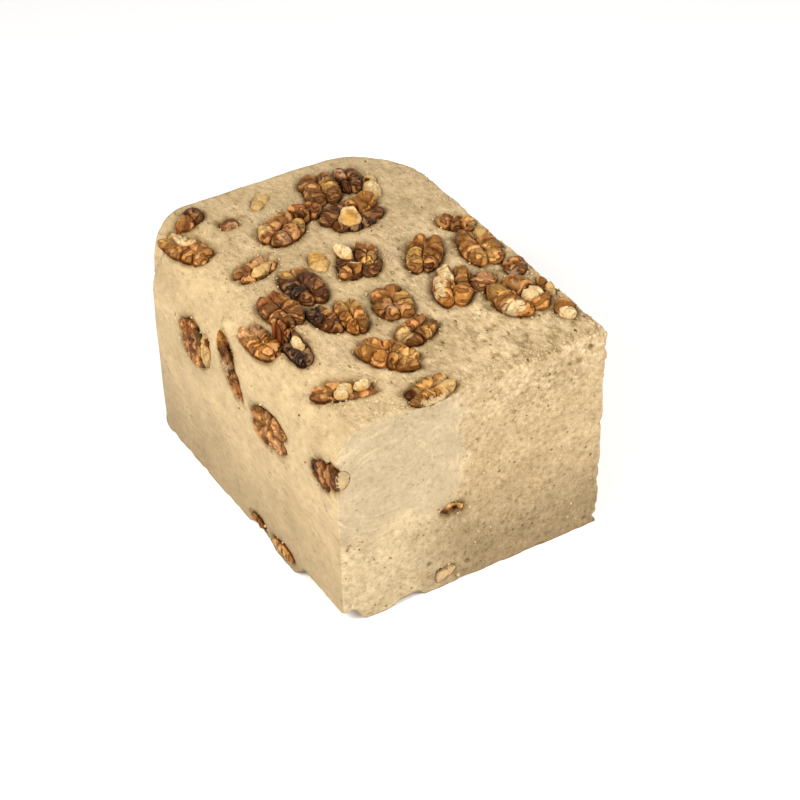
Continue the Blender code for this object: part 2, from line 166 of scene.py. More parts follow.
def smear(point, normal):
    """How far the knife has smeared this place smooth, from 0 to 1."""
    ragged = SMEAR_RAGGED * noise.noise(point / 9) + 2.5 * noise.noise(point / 3.1)
    bulge = 9 * (1 - ((point.z - 88) / 34) ** 2)
    inside = ease(0, SMEAR_FADE, SMEAR_RIGHT + bulge + ragged - point.x)
    above = ease(-2 * SMEAR_FADE, SMEAR_FADE, point.z - SMEAR_BELOW + ragged)
    pressed = DRAGGED * (1 - ease(*DRAGGED_FADE, point.x + 2 * ragged))
    return max(inside * above, pressed) * ease(0.55, 0.85, -normal.y)


PIT_LAYERS = ((7.5, 0.30, 1.3), (4.3, 0.36, 0.8))   # spacing, reach as a share of it, depth
STREAK_TURN = radians(22)     # the scratches on the top run this far to the right of +Y
STREAK_LONG = 1.8             # and are this much longer than wide
FLAKE, FLAKE_HEIGHT = 1.9, 0.2
GRAIN_LAYERS = ((6.7, 0.42), (3.1, 0.34), (1.7, 0.22))   # size and height
CHIP_REACH, CHIP_SIZE, CHIP_DEPTH = 6.5, 8.5, 3.0


def pits(point, share):
    """Depth of the pits here, where this share of the places has one."""
    depth = 0
    for layer, (spacing, reach, deepest) in enumerate(PIT_LAYERS):
        distances, middles = noise.voronoi(point / spacing + Vector((layer * 17.3, 0, 0)))
        if distances[0] < reach and abs(noise.cell(middles[0] * 9.7)) < share:
            depth = max(depth, deepest * (1 - (distances[0] / reach) ** 2))
    return depth


def along_streaks(point):
    """The point in a space where the scratches are as long as they are wide."""
    across = point.x * cos(STREAK_TURN) - point.y * sin(STREAK_TURN)
    along = point.x * sin(STREAK_TURN) + point.y * cos(STREAK_TURN)
    return Vector((across, along / STREAK_LONG, point.z))


def crumbly(point, normal):
    """Height of the fine unevenness here, and the depth of the pits in it."""
    cut = max(normal.x, -normal.y, 0)
    top = max(normal.z, 0) ** 2
    smeared = smear(point, normal)
    right_edge = ease(-10, 70, point.x) * ease(65, 125, point.z)
    right_edge *= 1 - 0.7 * ease(-70, 0, point.y)
    rough = max(cut * (0.36 + 0.40 * right_edge), 0.52 * top, 0.16) * (1 - 0.85 * smeared)
    grain = sum(high * noise.noise(point / size) for size, high in GRAIN_LAYERS)
    scratched = along_streaks(point)
    grain += top * 0.5 * noise.noise(scratched / 1.6) + top * 0.4 * noise.noise(scratched / 3.4)
    flakes, middles = noise.voronoi(point / FLAKE)
    grain += FLAKE_HEIGHT * noise.cell(middles[0] * 5.1) * min(1, (flakes[1] - flakes[0]) / 0.25)
    calm = top * ease(-60, 60, point.y - point.x)
    mottled = coarse(point, cut, top) * (1 - 0.9 * smeared) * (1 - 0.8 * calm)
    mottled *= 1 - 0.6 * ease(-20, 60, point.y)
    by_edge = ease(-25, 30, point.x) * (1 - ease(-102, -72, point.y))
    share = (0.05 + 0.45 * right_edge) * cut + (0.26 * mottled + 0.4 * by_edge) * top + 0.01
    hollow = pits(point, share * (1 - smeared)) * max(cut, 0.6 * top, 0.3)
    grain *= (1 + 0.15 * mottled) * (1 - 0.3 * calm)
    speck = noise.noise(point / 2.6) + 0.6 * noise.noise(point / 1.3)
    flaky = cut * by_edge * ease(88, 114, point.z) * ease(-0.15, 0.35, speck)
    return rough * grain * 1.15 - hollow + 0.25 * flaky, hollow, mottled, flaky


def coarse(point, cut, top):
    """How coarsely the halva has crumbled: most on the right of the top and along the cut edges."""
    right = ease(-50, 50, point.x)
    along_edge = ease(75, 122, point.z) * (0.5 + 0.5 * right)
    beside_smear = (1 - ease(-75, -68, point.x)) * ease(20, 60, point.z) + 0.5
    on_cut = 0.7 * cut * max(along_edge, beside_smear * ease(0.5, 0.8, cut))
    return min(1, top * (0.25 + 0.75 * right) + on_cut)


def chipped(x, y, z):
    """How much of a cut edge has crumbled away here, from a place on the sharp box."""
    to_front, to_right, to_top = y + LENGTH / 2, WIDTH / 2 - x, HEIGHT - z
    worn_front = ease(-50, 20, x)
    near = max(
        (1 - hypot(to_front, to_top) / CHIP_REACH) * worn_front,
        (1 - hypot(to_right, to_top) / CHIP_REACH) * (1 - 0.75 * ease(-80, -20, y)),
        1 - hypot(to_front, to_right) / CHIP_REACH,
        0,
    )
    if near == 0:
        return 0
    bite = 0.2 + noise.noise(Vector((x, y, z)) / CHIP_SIZE) + 0.3 * noise.noise(Vector((x, y, z)) / 2.7)
    return CHIP_DEPTH * near * max(0, bite)


def relief(point, normal):
    """How far the solid's surface stands out of the pressed shape here."""
    cut = max(normal.x, -normal.y, TOP_CRAG * normal.z, MOULDED_CRAG)
    crag = CRAG * cut * noise.noise(point / CRAG_SIZE + CRAG_SHIFT)
    return SWELL * noise.noise(point / SWELL_SIZE) + crag


RIM_RAGGED, RIM_SIZE = 2.2, 7.0

seat_surface = sharp_box()
for axis, low, high in ((0, -WIDTH / 2, WIDTH / 2), (1, -LENGTH / 2, LENGTH / 2), (2, 0, HEIGHT)):
    way = Vector((axis == 0, axis == 1, axis == 2))
    for place in slices(low, high):
        geometry = seat_surface.verts[:] + seat_surface.edges[:] + seat_surface.faces[:]
        bmesh.ops.bisect_plane(seat_surface, geom=geometry, plane_co=way * place, plane_no=way)
for vert in seat_surface.verts:
    vert.co = press(*vert.co)
seat_tree = BVHTree.FromBMesh(seat_surface)
seat_surface.free()

block = sharp_box()
for axis, size in enumerate((WIDTH, LENGTH, HEIGHT)):
    long_edges = [e for e in block.edges if abs(e.verts[0].co[axis] - e.verts[1].co[axis]) > size / 2]
    bmesh.ops.subdivide_edges(block, edges=long_edges, cuts=round(size / FINE_CELL) - 1, use_grid_fill=True)
chips = [chipped(*vert.co) for vert in block.verts]
for vert in block.verts:
    vert.co = press(*vert.co)
block.normal_update()
layers = [block.verts.layers.float.new(name) for name in ("hollow", "mottled", "flaky", "smear", "moulded")]
placed = []
for vert, chip in zip(block.verts, chips):
    fine, hollow, mottled, flaky = crumbly(vert.co, vert.normal)
    shift = vert.normal * (relief(vert.co, vert.normal) + fine - chip)
    if vert.co.z < ON_BASE:
        shift = Vector((0, 0, 0))
    rim = max(0, 1 - vert.co.z / 5) * max(0, RIM_RAGGED * noise.noise(vert.co / RIM_SIZE))
    at_side = hypot(vert.normal.x, vert.normal.y) > 0.3
    shift.z += worn_height(vert.co.x, vert.co.y) * max(0, 1 - vert.co.z / WORN_FADE) + rim * at_side
    place = vert.co + shift
    place.z = max(place.z, 0)
    moulded = max(-vert.normal.x, vert.normal.y, 0)
    for layer, value in zip(layers, (hollow, mottled, flaky, smear(vert.co, vert.normal), moulded)):
        vert[layer] = value
    placed.append(place)
outward = [vert.normal.copy() for vert in block.verts]
for vert, place in zip(block.verts, placed):
    vert.co = place

# The kernels: walnut halves and pieces, strewn over the halva and pressed in while it was warm. The
# table gives each one's two coordinates on its face, its outline, how far it stands out of and reaches
# into the block, how far its outline is sunk, and its turn.
GAP = 0.35               # clearance between a kernel and its pocket
FLUSH = 0.3              # how far a cut kernel stands out of the cut front face
RAY_REACH = 60.0

Kernel = namedtuple("Kernel", "name face across up length width rise depth sunk turn form tone")
KERNELS = [Kernel(name, name.split("_")[0], *row) for name, *row in (
    ("top_01", -54, 95, 19, 14, 6, 4, 0, 20, "chunk", "dark"),
    ("top_02", -65, 77, 42, 18, 4, 5, 0, -70, "half", "amber"),
    ("top_03", -38, 80, 13, 10, 2, 5, 1, 10, "chunk", "brown"),
    ("top_04", -13, 90, 18, 9, 2, 4, 0, 40, "chunk", "pale"),
    ("top_05", 2, 66, 21, 15, 6, 5, 0, 10, "half", "brown"),
    ("top_06", -17, 58, 29, 23, 6, 5, 0, 25, "half", "brown"),
    ("top_07", 39, 82, 25, 15, 5, 4, 0, 72, "half", "dark"),
    ("top_08", 47.5, 71, 24, 11, 4, 4, 0, 75, "chunk", "pale"),
    ("top_09", 23, 51, 39, 28, 3, 6, 0, 10, "half", "dark"),
    ("top_10", 21, 82, 34, 23, 7, 5, 0, 75, "half", "brown"),
    ("top_11", 32, 56, 20, 15, 6, 4, -2, 10, "chunk", "amber"),
    ("top_12", 20, 48, 17, 14, 6, 4, -2, 60, "chunk", "pale"),
    ("top_13", -46, 35, 27, 17, 2.5, 6, 1.5, 15, "half", "brown"),
    ("top_14", -44, 32, 15, 8, 3, 3, 0, 20, "chunk", "pale"),
    ("top_15", -15, 22, 17, 13, 3, 5, 0, 80, "chunk", "pale"),
    ("top_16", 3, 11, 31, 25, 3, 6, 0.5, 70, "half", "dark"),
    ("top_17", 9.5, 14, 21, 12, 5, 4, -1, 66, "half", "brown"),
    ("top_18", 0, 21, 15, 8, 5, 3, -2, 95, "chunk", "pale"),
    ("top_19", -6, 5, 16, 10, 5, 3, -1, 15, "chunk", "amber"),
    ("top_20", -33.5, 6, 37, 21, 6, 5, 0, 90, "half", "dark"),
    ("top_21", -54, -6, 33, 20, 6, 5, 0, 95, "half", "brown"),
    ("top_22", -38, -25, 27, 14, 5, 4, 0, 105, "half", "dark"),
    ("top_23", -26, -30, 30, 15, 7, 4, 0, 80, "half", "amber"),
    ("top_24", -62, -35, 41, 12, 4, 5, 0, 85, "half", "dark"),
    ("top_25", -63, -23, 19, 8, 6, 3, -1, 80, "half", "brown"),
    ("top_26", -72, -17, 34, 16, 5, 5, 0, 95, "half", "amber"),
    ("top_27", -61.5, -37, 12, 6, 3, 2, -3, 85, "chunk", "pale"),
    ("top_28", -60, -79, 36, 14, 2.5, 6, 1.5, -25, "half", "brown"),
    ("top_29", -61, -81, 12, 9, 3.5, 3, -0.5, 30, "chunk", "pale"),
    ("top_30", -51, -82, 10, 7, 3, 2.5, -1, 10, "chunk", "pale"),
    ("top_31", -24.5, -102.5, 30, 17, 4, 6, 0, 5, "half", "amber"),
    ("top_32", -4, -58, 27, 17, 5, 5, 0, 20, "half", "brown"),
    ("top_33", -26.5, -68, 37, 20, 6, 5, 0, -55, "half", "amber"),
    ("top_34", -2, -32, 31, 21, 6, 5, 0, 80, "half", "amber"),
    ("top_35", 36, -2, 34, 20, 7, 5, 0, 50, "half", "amber"),
    ("top_36", 33, -35, 36, 22, 8, 5, 0, 60, "half", "amber"),
    ("top_37", 49, -39, 19, 15, 4, 4, 0, 30, "chunk", "brown"),
    ("top_38", 67, 14, 22, 13, 5, 5, 0, -45, "half", "brown"),
    ("top_39", 65, -12, 36, 23, 6, 5, 0, 80, "half", "amber"),
    ("top_40", 71, -36, 16, 13, 5, 4, 0, 60, "chunk", "brown"),
    ("top_41", 57, -60, 35, 31, 6, 6, 0, 100, "half", "amber"),
    ("top_42", 63.5, -64, 14, 12, 5, 3, -2, 20, "chunk", "pale"),
    ("top_43", 74.5, -60, 18, 7, 5, 4, 0, 85, "chunk", "amber"),
    ("top_44", 71.5, -82, 18, 12, 4, 4, 0, 70, "chunk", "amber"),
    ("left_01", 42, 88, 31, 27, 1, 7, 0, 5, "half", "brown"),
    ("left_02", 28, 91, 23, 11, 1, 6, 0, 85, "chunk", "pale"),
    ("left_03", 1, 98, 43, 13, 1, 6, 0, -52, "half", "dark"),
    ("left_04", -41, 85, 41, 22, 1.5, 6, 0, 10, "half", "brown"),
    ("left_05", -99, 96, 31, 19, 1.5, 11, 0, 25, "chunk", "dark"),
    ("left_06", -47, 7.5, 25, 7, 2, 5, 0, 3, "chunk", "amber"),
    ("left_07", -21, 8, 17, 6, 1.5, 4, 0, -5, "chunk", "dark"),
    ("front_01", -14, 51, 15, 8, 1.5, 5, 1, -10, "chunk", "brown"),
    ("front_02", -18, 8.5, 14, 8, 2.5, 4, 0, 15, "chunk", "pale"),
    ("right_01", 42, 84, 30, 18, 1.5, 6, 0, 20, "half", "brown"),
    ("right_02", -24, 58, 25, 15, 1.5, 6, 0, -35, "half", "amber"),
    ("back_01", -24, 84, 28, 17, 1, 6, 0, 15, "half", "amber"),
    ("back_02", 26, 52, 25, 14, 1, 6, 0, -40, "half", "brown"),
)]


def face_frame(kernel):
    """The point outside the block that faces the kernel, the way in, and the face's right hand."""
    x_out, y_out = WIDTH / 2 + RAY_REACH, LENGTH / 2 + RAY_REACH
    across, up = kernel.across, kernel.up
    return {
        "top": (Vector((across, up, HEIGHT + RAY_REACH)), Vector((0, 0, -1)), Vector((1, 0, 0))),
        "left": (Vector((-x_out, across, up)), Vector((1, 0, 0)), Vector((0, -1, 0))),
        "right": (Vector((x_out, across, up)), Vector((-1, 0, 0)), Vector((0, 1, 0))),
        "front": (Vector((across, -y_out, up)), Vector((0, 1, 0)), Vector((1, 0, 0))),
        "back": (Vector((across, y_out, up)), Vector((0, -1, 0)), Vector((-1, 0, 0))),
    }[kernel.face]


def seat(kernel):
    """Place and turn of a kernel whose own axes are its length, its width and the way out."""
    start, way_in, right = face_frame(kernel)
    point, out, _, _ = seat_tree.ray_cast(start, way_in)
    right = (right - out * right.dot(out)).normalized()
    forward = out.cross(right)
    turn = radians(kernel.turn)
    along = right * cos(turn) + forward * sin(turn)
    sideways = out.cross(along)
    matrix = Matrix((along, sideways, out)).transposed().to_4x4()
    matrix.translation = point - out * kernel.sunk
    return matrix


# The lobes: a walnut half has two rows of plump lobes with a groove between the rows, and a piece has
# one row and flat breaks. They are the same as the solids' lobes.
LOBE = 8.5               # spacing of the lobes along a kernel
ROW_REACH = 0.74         # where a row of lobes would end, as a share of the half length
ROW_APART = 0.48         # the two rows of a half kernel, as a share of its half width
ROW_TAPER = 0.72         # how much the rows draw together towards the ends
LOBE_SCATTER = 0.09      # how unevenly the lobes lie
LOBE_TURN = 34.0         # and how far they are turned, in degrees
LOBE_LONG = 1.45         # a lobe's reach along the kernel, as a share of half the spacing
LOBE_WIDE = 0.58         # its reach across, as a share of the half width, in two rows
LOBE_WIDE_ALONE = 0.95   # and in one row
LOBE_SIZES = (0.85, 1.12)
LOBE_HIGH = (0.72, 1.08)   # its height, as a share of the kernel's
CORE, CORE_HIGH = 0.6, 0.45   # the smooth core between the lobes, as shares of the outline and the height
LOBE_SEED = 60
BREAKS = 4               # flat breaks round a piece of a kernel
BREAK_TILT = (0.2, 1.6)  # how steeply they face up
BREAK_IN = (0.74, 0.9)   # where they cut, as a share of the outline
BREAK_SEED = 300
BOWL_FADE = 0.35         # the outline's notches fade out over this share of the depth

Lobe = namedtuple("Lobe", "squeeze middle")


def make_lobe(x, y, turn, reach):
    """A lobe: the matrix that turns it into a unit ball, and its middle there."""
    squeeze = Matrix.Diagonal([1 / r for r in reach]) @ Matrix.Rotation(-turn, 3, "Z")
    return Lobe(squeeze, squeeze @ Vector((x, y, 0)))


def kernel_lobes(kernel, seed):
    """The plump lobes of a kernel, in two rows if it is a half, round a smooth core."""
    draw = Random(seed + LOBE_SEED)
    half_length, half_width = kernel.length / 2, kernel.width / 2
    count = max(2, round(kernel.length / LOBE))
    sides, wide = ((-1, 1), LOBE_WIDE) if kernel.form == "half" else ((0,), LOBE_WIDE_ALONE)
    lobes = [make_lobe(0, 0, 0, (CORE * half_length, CORE * half_width, CORE_HIGH * kernel.rise))]
    for side in sides:
        for i in range(count):
            share = (2 * i + 1) / count - 1
            taper = sqrt(1 - (ROW_TAPER * share) ** 2)
            x = (share * ROW_REACH + draw.uniform(-LOBE_SCATTER, LOBE_SCATTER)) * half_length
            y = (side * ROW_APART * taper + draw.uniform(-LOBE_SCATTER, LOBE_SCATTER)) * half_width
            turn = radians(draw.uniform(-LOBE_TURN, LOBE_TURN))
            high = kernel.rise * draw.uniform(*LOBE_HIGH)
            size = draw.uniform(*LOBE_SIZES)
            reach = (half_length / count * LOBE_LONG * size, half_width * wide * taper * size, high)
            lobes.append(make_lobe(x, y, turn, reach))
    return lobes


def kernel_breaks(kernel, seed):
    """The flat breaks of a piece: the way each one faces and how far it lies from the piece's middle."""
    draw = Random(seed + BREAK_SEED)
    breaks = []
    for _ in range(BREAKS if kernel.form == "chunk" else 0):
        turn = draw.uniform(0, 2 * pi)
        tilt = draw.uniform(*BREAK_TILT) / kernel.length
        way = Vector((cos(turn) / kernel.length, sin(turn) / kernel.width, tilt)).normalized()
        outline = Vector((way.x * kernel.length / 2, way.y * kernel.width / 2, way.z * kernel.rise)).length
        breaks.append((way, outline * draw.uniform(*BREAK_IN)))
    return breaks


def lobe_end(way, lobe):
    """How far along this way from the kernel's middle the lobe ends, 0 if it isn't met."""
    ray = lobe.squeeze @ way
    a, b, c = ray.dot(ray), ray.dot(lobe.middle), lobe.middle.dot(lobe.middle) - 1
    met = b * b - a * c
    return max(0, (b + sqrt(met)) / a) if met > 0 else 0


Nut = namedtuple("Nut", "kernel seed matrix inverse lobes breaks outline")
OUTLINE_STEPS = 120


def outline_shares(kernel, lobes, breaks):
    """How much of its smooth outline the kernel fills, all the way round."""
    shares = []
    for i in range(OUTLINE_STEPS):
        turn = 2 * pi * i / OUTLINE_STEPS
        smooth = Vector((cos(turn) * kernel.length / 2, sin(turn) * kernel.width / 2, 0))
        end = max(lobe_end(smooth.normalized(), lobe) for lobe in lobes)
        spot = smooth * min(1, end / smooth.length)
        for facing, distance in breaks:
            spot -= facing * max(0, spot.dot(facing) - distance)
        shares.append(spot.to_2d().length / smooth.length)
    return shares


def make_nut(seed, kernel):
    """A kernel with its seat, its lobes and its outline."""
    matrix = seat(kernel)
    lobes, breaks = kernel_lobes(kernel, seed), kernel_breaks(kernel, seed)
    outline = outline_shares(kernel, lobes, breaks)
    return Nut(kernel, seed, matrix, matrix.inverted(), lobes, breaks, outline)


def outline_ratio(spot, nut):
    """How far out this place lies from a kernel's middle, where its pocket's notched outline is at 1."""
    x, y = spot.x / (nut.kernel.length / 2 + GAP), spot.y / (nut.kernel.width / 2 + GAP)
    step = (atan2(y, x) / (2 * pi) % 1) * OUTLINE_STEPS
    before = int(step) % OUTLINE_STEPS
    shares = nut.outline
    share = shares[before] + (shares[(before + 1) % OUTLINE_STEPS] - shares[before]) * (step % 1)
    return max(hypot(x, y) / share, 1e-3)


nuts = [make_nut(seed, kernel) for seed, kernel in enumerate(KERNELS)]

# The pockets: the warm halva closed round each kernel and left a dark crack along its outline, with
# a groove and a crumbly lip beside it.
LIP_REACH = 9.0          # how far from a kernel the halva is disturbed
SNAP = 0.6               # a point this near to the outline moves on to it
GROOVE, GROOVE_WIDTH = 0.8, 1.3
LIP, LIP_AT, LIP_WIDTH = 0.45, 3.2, 1.4
OIL_SHADE_WIDTH = 1.8          # how far the nut's oil and painted shade darken the halva
SHADE_FAINT, SHADE_WIDE = 0.34, 5.0   # and how much painted shade reaches further, and how far
PALE_OIL_SHADE = 0.35          # and how much less beside bare flesh
SEAT_FADE = (1.5, 4.5)   # the disturbance ends this far above or below the outline
UNDER_FADE = (0.5, 2.0)  # and this far below the pocket's floor
EVEN = 0.5               # halva that lies further than this above or below a kernel's outline
HEAP_SLOPE, HEAP_SOFT = 0.8, 1.0   # is heaped against it or pressed down, with this slope
HEAP_REACH, HEAP_FADE = 12.0, (9.0, 12.0)
ROUNDED = range(-8, 9)   # the heap follows the mean of this many steps of the outline

near_layer = block.verts.layers.float.new("near_nut")
near_tree = kdtree.KDTree(len(block.verts))
for i, vert in enumerate(block.verts):
    near_tree.insert(vert.co, i)
near_tree.balance()
block.verts.ensure_lookup_table()


def halva_near(nut, reach):
    """The halva's points near a kernel, and how far beyond its outline each one lies."""
    for _, i, _ in near_tree.find_range(nut.matrix.translation, nut.kernel.length / 2 + reach + 4):
        vert = block.verts[i]
        spot = nut.inverse @ vert.co
        if abs(spot.z) > HEAP_FADE[1] or outward[i].dot(nut.matrix.col[2].to_3d()) < 0.2:
            continue
        ratio = outline_ratio(spot, nut)
        beyond = hypot(spot.x, spot.y) * (1 - 1 / ratio)
        if beyond < reach:
            yield vert, spot, ratio, beyond


for nut in nuts:
    out = nut.matrix.col[2].to_3d()
    rounded = [sum(nut.outline[(i + k) % OUTLINE_STEPS] for k in ROUNDED) / len(ROUNDED)
               for i in range(OUTLINE_STEPS)]
    for vert, spot, _, beyond in halva_near(nut._replace(outline=rounded), HEAP_REACH):
        over = abs(spot.z) - EVEN - HEAP_SLOPE * max(beyond, 0)
        if over > 0:
            share = (1 - ease(*HEAP_FADE, abs(spot.z))) * ease(0.2, 0.5, vert.normal.dot(out))
            spot.z -= (1 if spot.z > 0 else -1) * share * over * over / (over + HEAP_SOFT)
            vert.co = nut.matrix @ spot

for nut in nuts:
    kernel = nut.kernel
    for vert, spot, ratio, beyond in halva_near(nut, LIP_REACH):
        bowl = -(kernel.depth + GAP) * sqrt(max(0, 1 - min(ratio, 1) ** 2))
        level = 1 - (ease(*SEAT_FADE, abs(spot.z)) if beyond > 0 else ease(*UNDER_FADE, bowl - spot.z))
        uneven = 0.65 + 0.7 * noise.noise(vert.co / 3.3)
        disturbed = exp(-(beyond / GROOVE_WIDTH) ** 2) if beyond > 0 else 1
        lip = exp(-((beyond - LIP_AT) / LIP_WIDTH) ** 2)
        spot.z += uneven * level * (LIP * lip - GROOVE * disturbed)
        if beyond < SNAP and (spot.z > 0 or level > 0.3):
            if beyond > -SNAP:
                spot.x /= ratio
                spot.y /= ratio
            else:
                spot.z = min(spot.z, bowl)
        # oil and painted shade: the halva is darker by a kernel, in a narrow band and a wide faint shade
        oil_and_shade = PALE_OIL_SHADE if kernel.tone == "pale" else 1
        out = max(beyond, 0)
        faint_shade = SHADE_FAINT * (1 + 1.2 * noise.noise(vert.co / 4.7)) * exp(-(out / SHADE_WIDE) ** 2)
        oily_shade = oil_and_shade * level * ((1 - SHADE_FAINT) * exp(-(out / OIL_SHADE_WIDTH) ** 2) + faint_shade)
        vert[near_layer] = max(vert[near_layer], oily_shade)
        place = nut.matrix @ spot
        place.z = max(place.z, 0.02)
        vert.co = place

underside = [face for face in block.faces if all(vert.co.z < ON_BASE for vert in face.verts)]
bmesh.ops.dissolve_faces(block, faces=underside)
bmesh.ops.scale(block, vec=(MM, MM, MM), verts=block.verts)
ground = BVHTree.FromBMesh(block)


def set_inputs(tree, node, inputs):
    """Give these inputs of a node their values, or link them to sockets."""
    for name, value in inputs.items():
        if isinstance(value, bpy.types.NodeSocket):
            tree.links.new(value, node.inputs[name])
        else:
            node.inputs[name].default_value = value


def add_node(tree, kind, inputs=None, **settings):
    """A shader node with these inputs and settings."""
    made = tree.nodes.new("ShaderNode" + kind)
    for name, value in settings.items():
        setattr(made, name, value)
    set_inputs(tree, made, inputs or {})
    return made


def painted(tree, name, output="Fac"):
    """A value or colour that the mesh keeps at its points."""
    return add_node(tree, "Attribute", attribute_name=name).outputs[output]


def speckle(tree, place, scale, detail=2.0, roughness=0.5, distortion=0.0):
    """Smooth noise with this many swellings to the metre."""
    inputs = {"Vector": place, "Scale": scale, "Detail": detail, "Roughness": roughness,
              "Distortion": distortion}
    return add_node(tree, "TexNoise", inputs).outputs["Fac"]


def vector(tree, operation, first, second=(0, 0, 0), output=0):
    """The result of a Vector Math node."""
    return add_node(tree, "VectorMath", {0: first, 1: second}, operation=operation).outputs[output]


def calculate(tree, operation, *values, clamp=False):
    """The result of a Math node."""
    return add_node(tree, "Math", dict(enumerate(values)), operation=operation, use_clamp=clamp).outputs[0]


def times(tree, *values):
    """The product of these, from 0 to 1."""
    product = values[0]
    for value in values[1:]:
        product = calculate(tree, "MULTIPLY", product, value, clamp=True)
    return product


def between(tree, value, low, high, to_low=0.0, to_high=1.0):
    """A value carried smoothly from one range to another."""
    inputs = {"Value": value, "From Min": low, "From Max": high, "To Min": to_low, "To Max": to_high}
    return add_node(tree, "MapRange", inputs, interpolation_type="SMOOTHSTEP").outputs["Result"]


MIX_SHARE, MIX_FIRST, MIX_SECOND, MIXED = 0, 6, 7, 2     # a Mix node's sockets for colours


def mix_colours(tree, share, first, second, blend="MIX"):
    """The colour between two others, or of the second laid over the first."""
    inputs = {MIX_SHARE: share, MIX_FIRST: first, MIX_SECOND: second}
    return add_node(tree, "Mix", inputs, data_type="RGBA", blend_type=blend).outputs[MIXED]


def tinted(tree, colour, tints):
    """The colour multiplied by each of these tints in its share of the places."""
    for share, tint in tints:
        colour = mix_colours(tree, share, colour, mix_colours(tree, 1.0, colour, (*tint, 1), "MULTIPLY"))
    return colour


def new_material(name):
    """A material with its node tree and its shader."""
    material = bpy.data.materials.new(name)
    material.use_nodes = True
    return material, material.node_tree, material.node_tree.nodes["Principled BSDF"]


def new_piece(name, shape, material, smooth=True):
    """The finished shape as an object of the scene."""
    mesh = bpy.data.meshes.new(name)
    shape.to_mesh(mesh)
    shape.free()
    if smooth:
        mesh.shade_smooth()
    mesh.materials.append(material)
    piece = bpy.data.objects.new(name, mesh)
    bpy.context.scene.collection.objects.link(piece)
    return piece


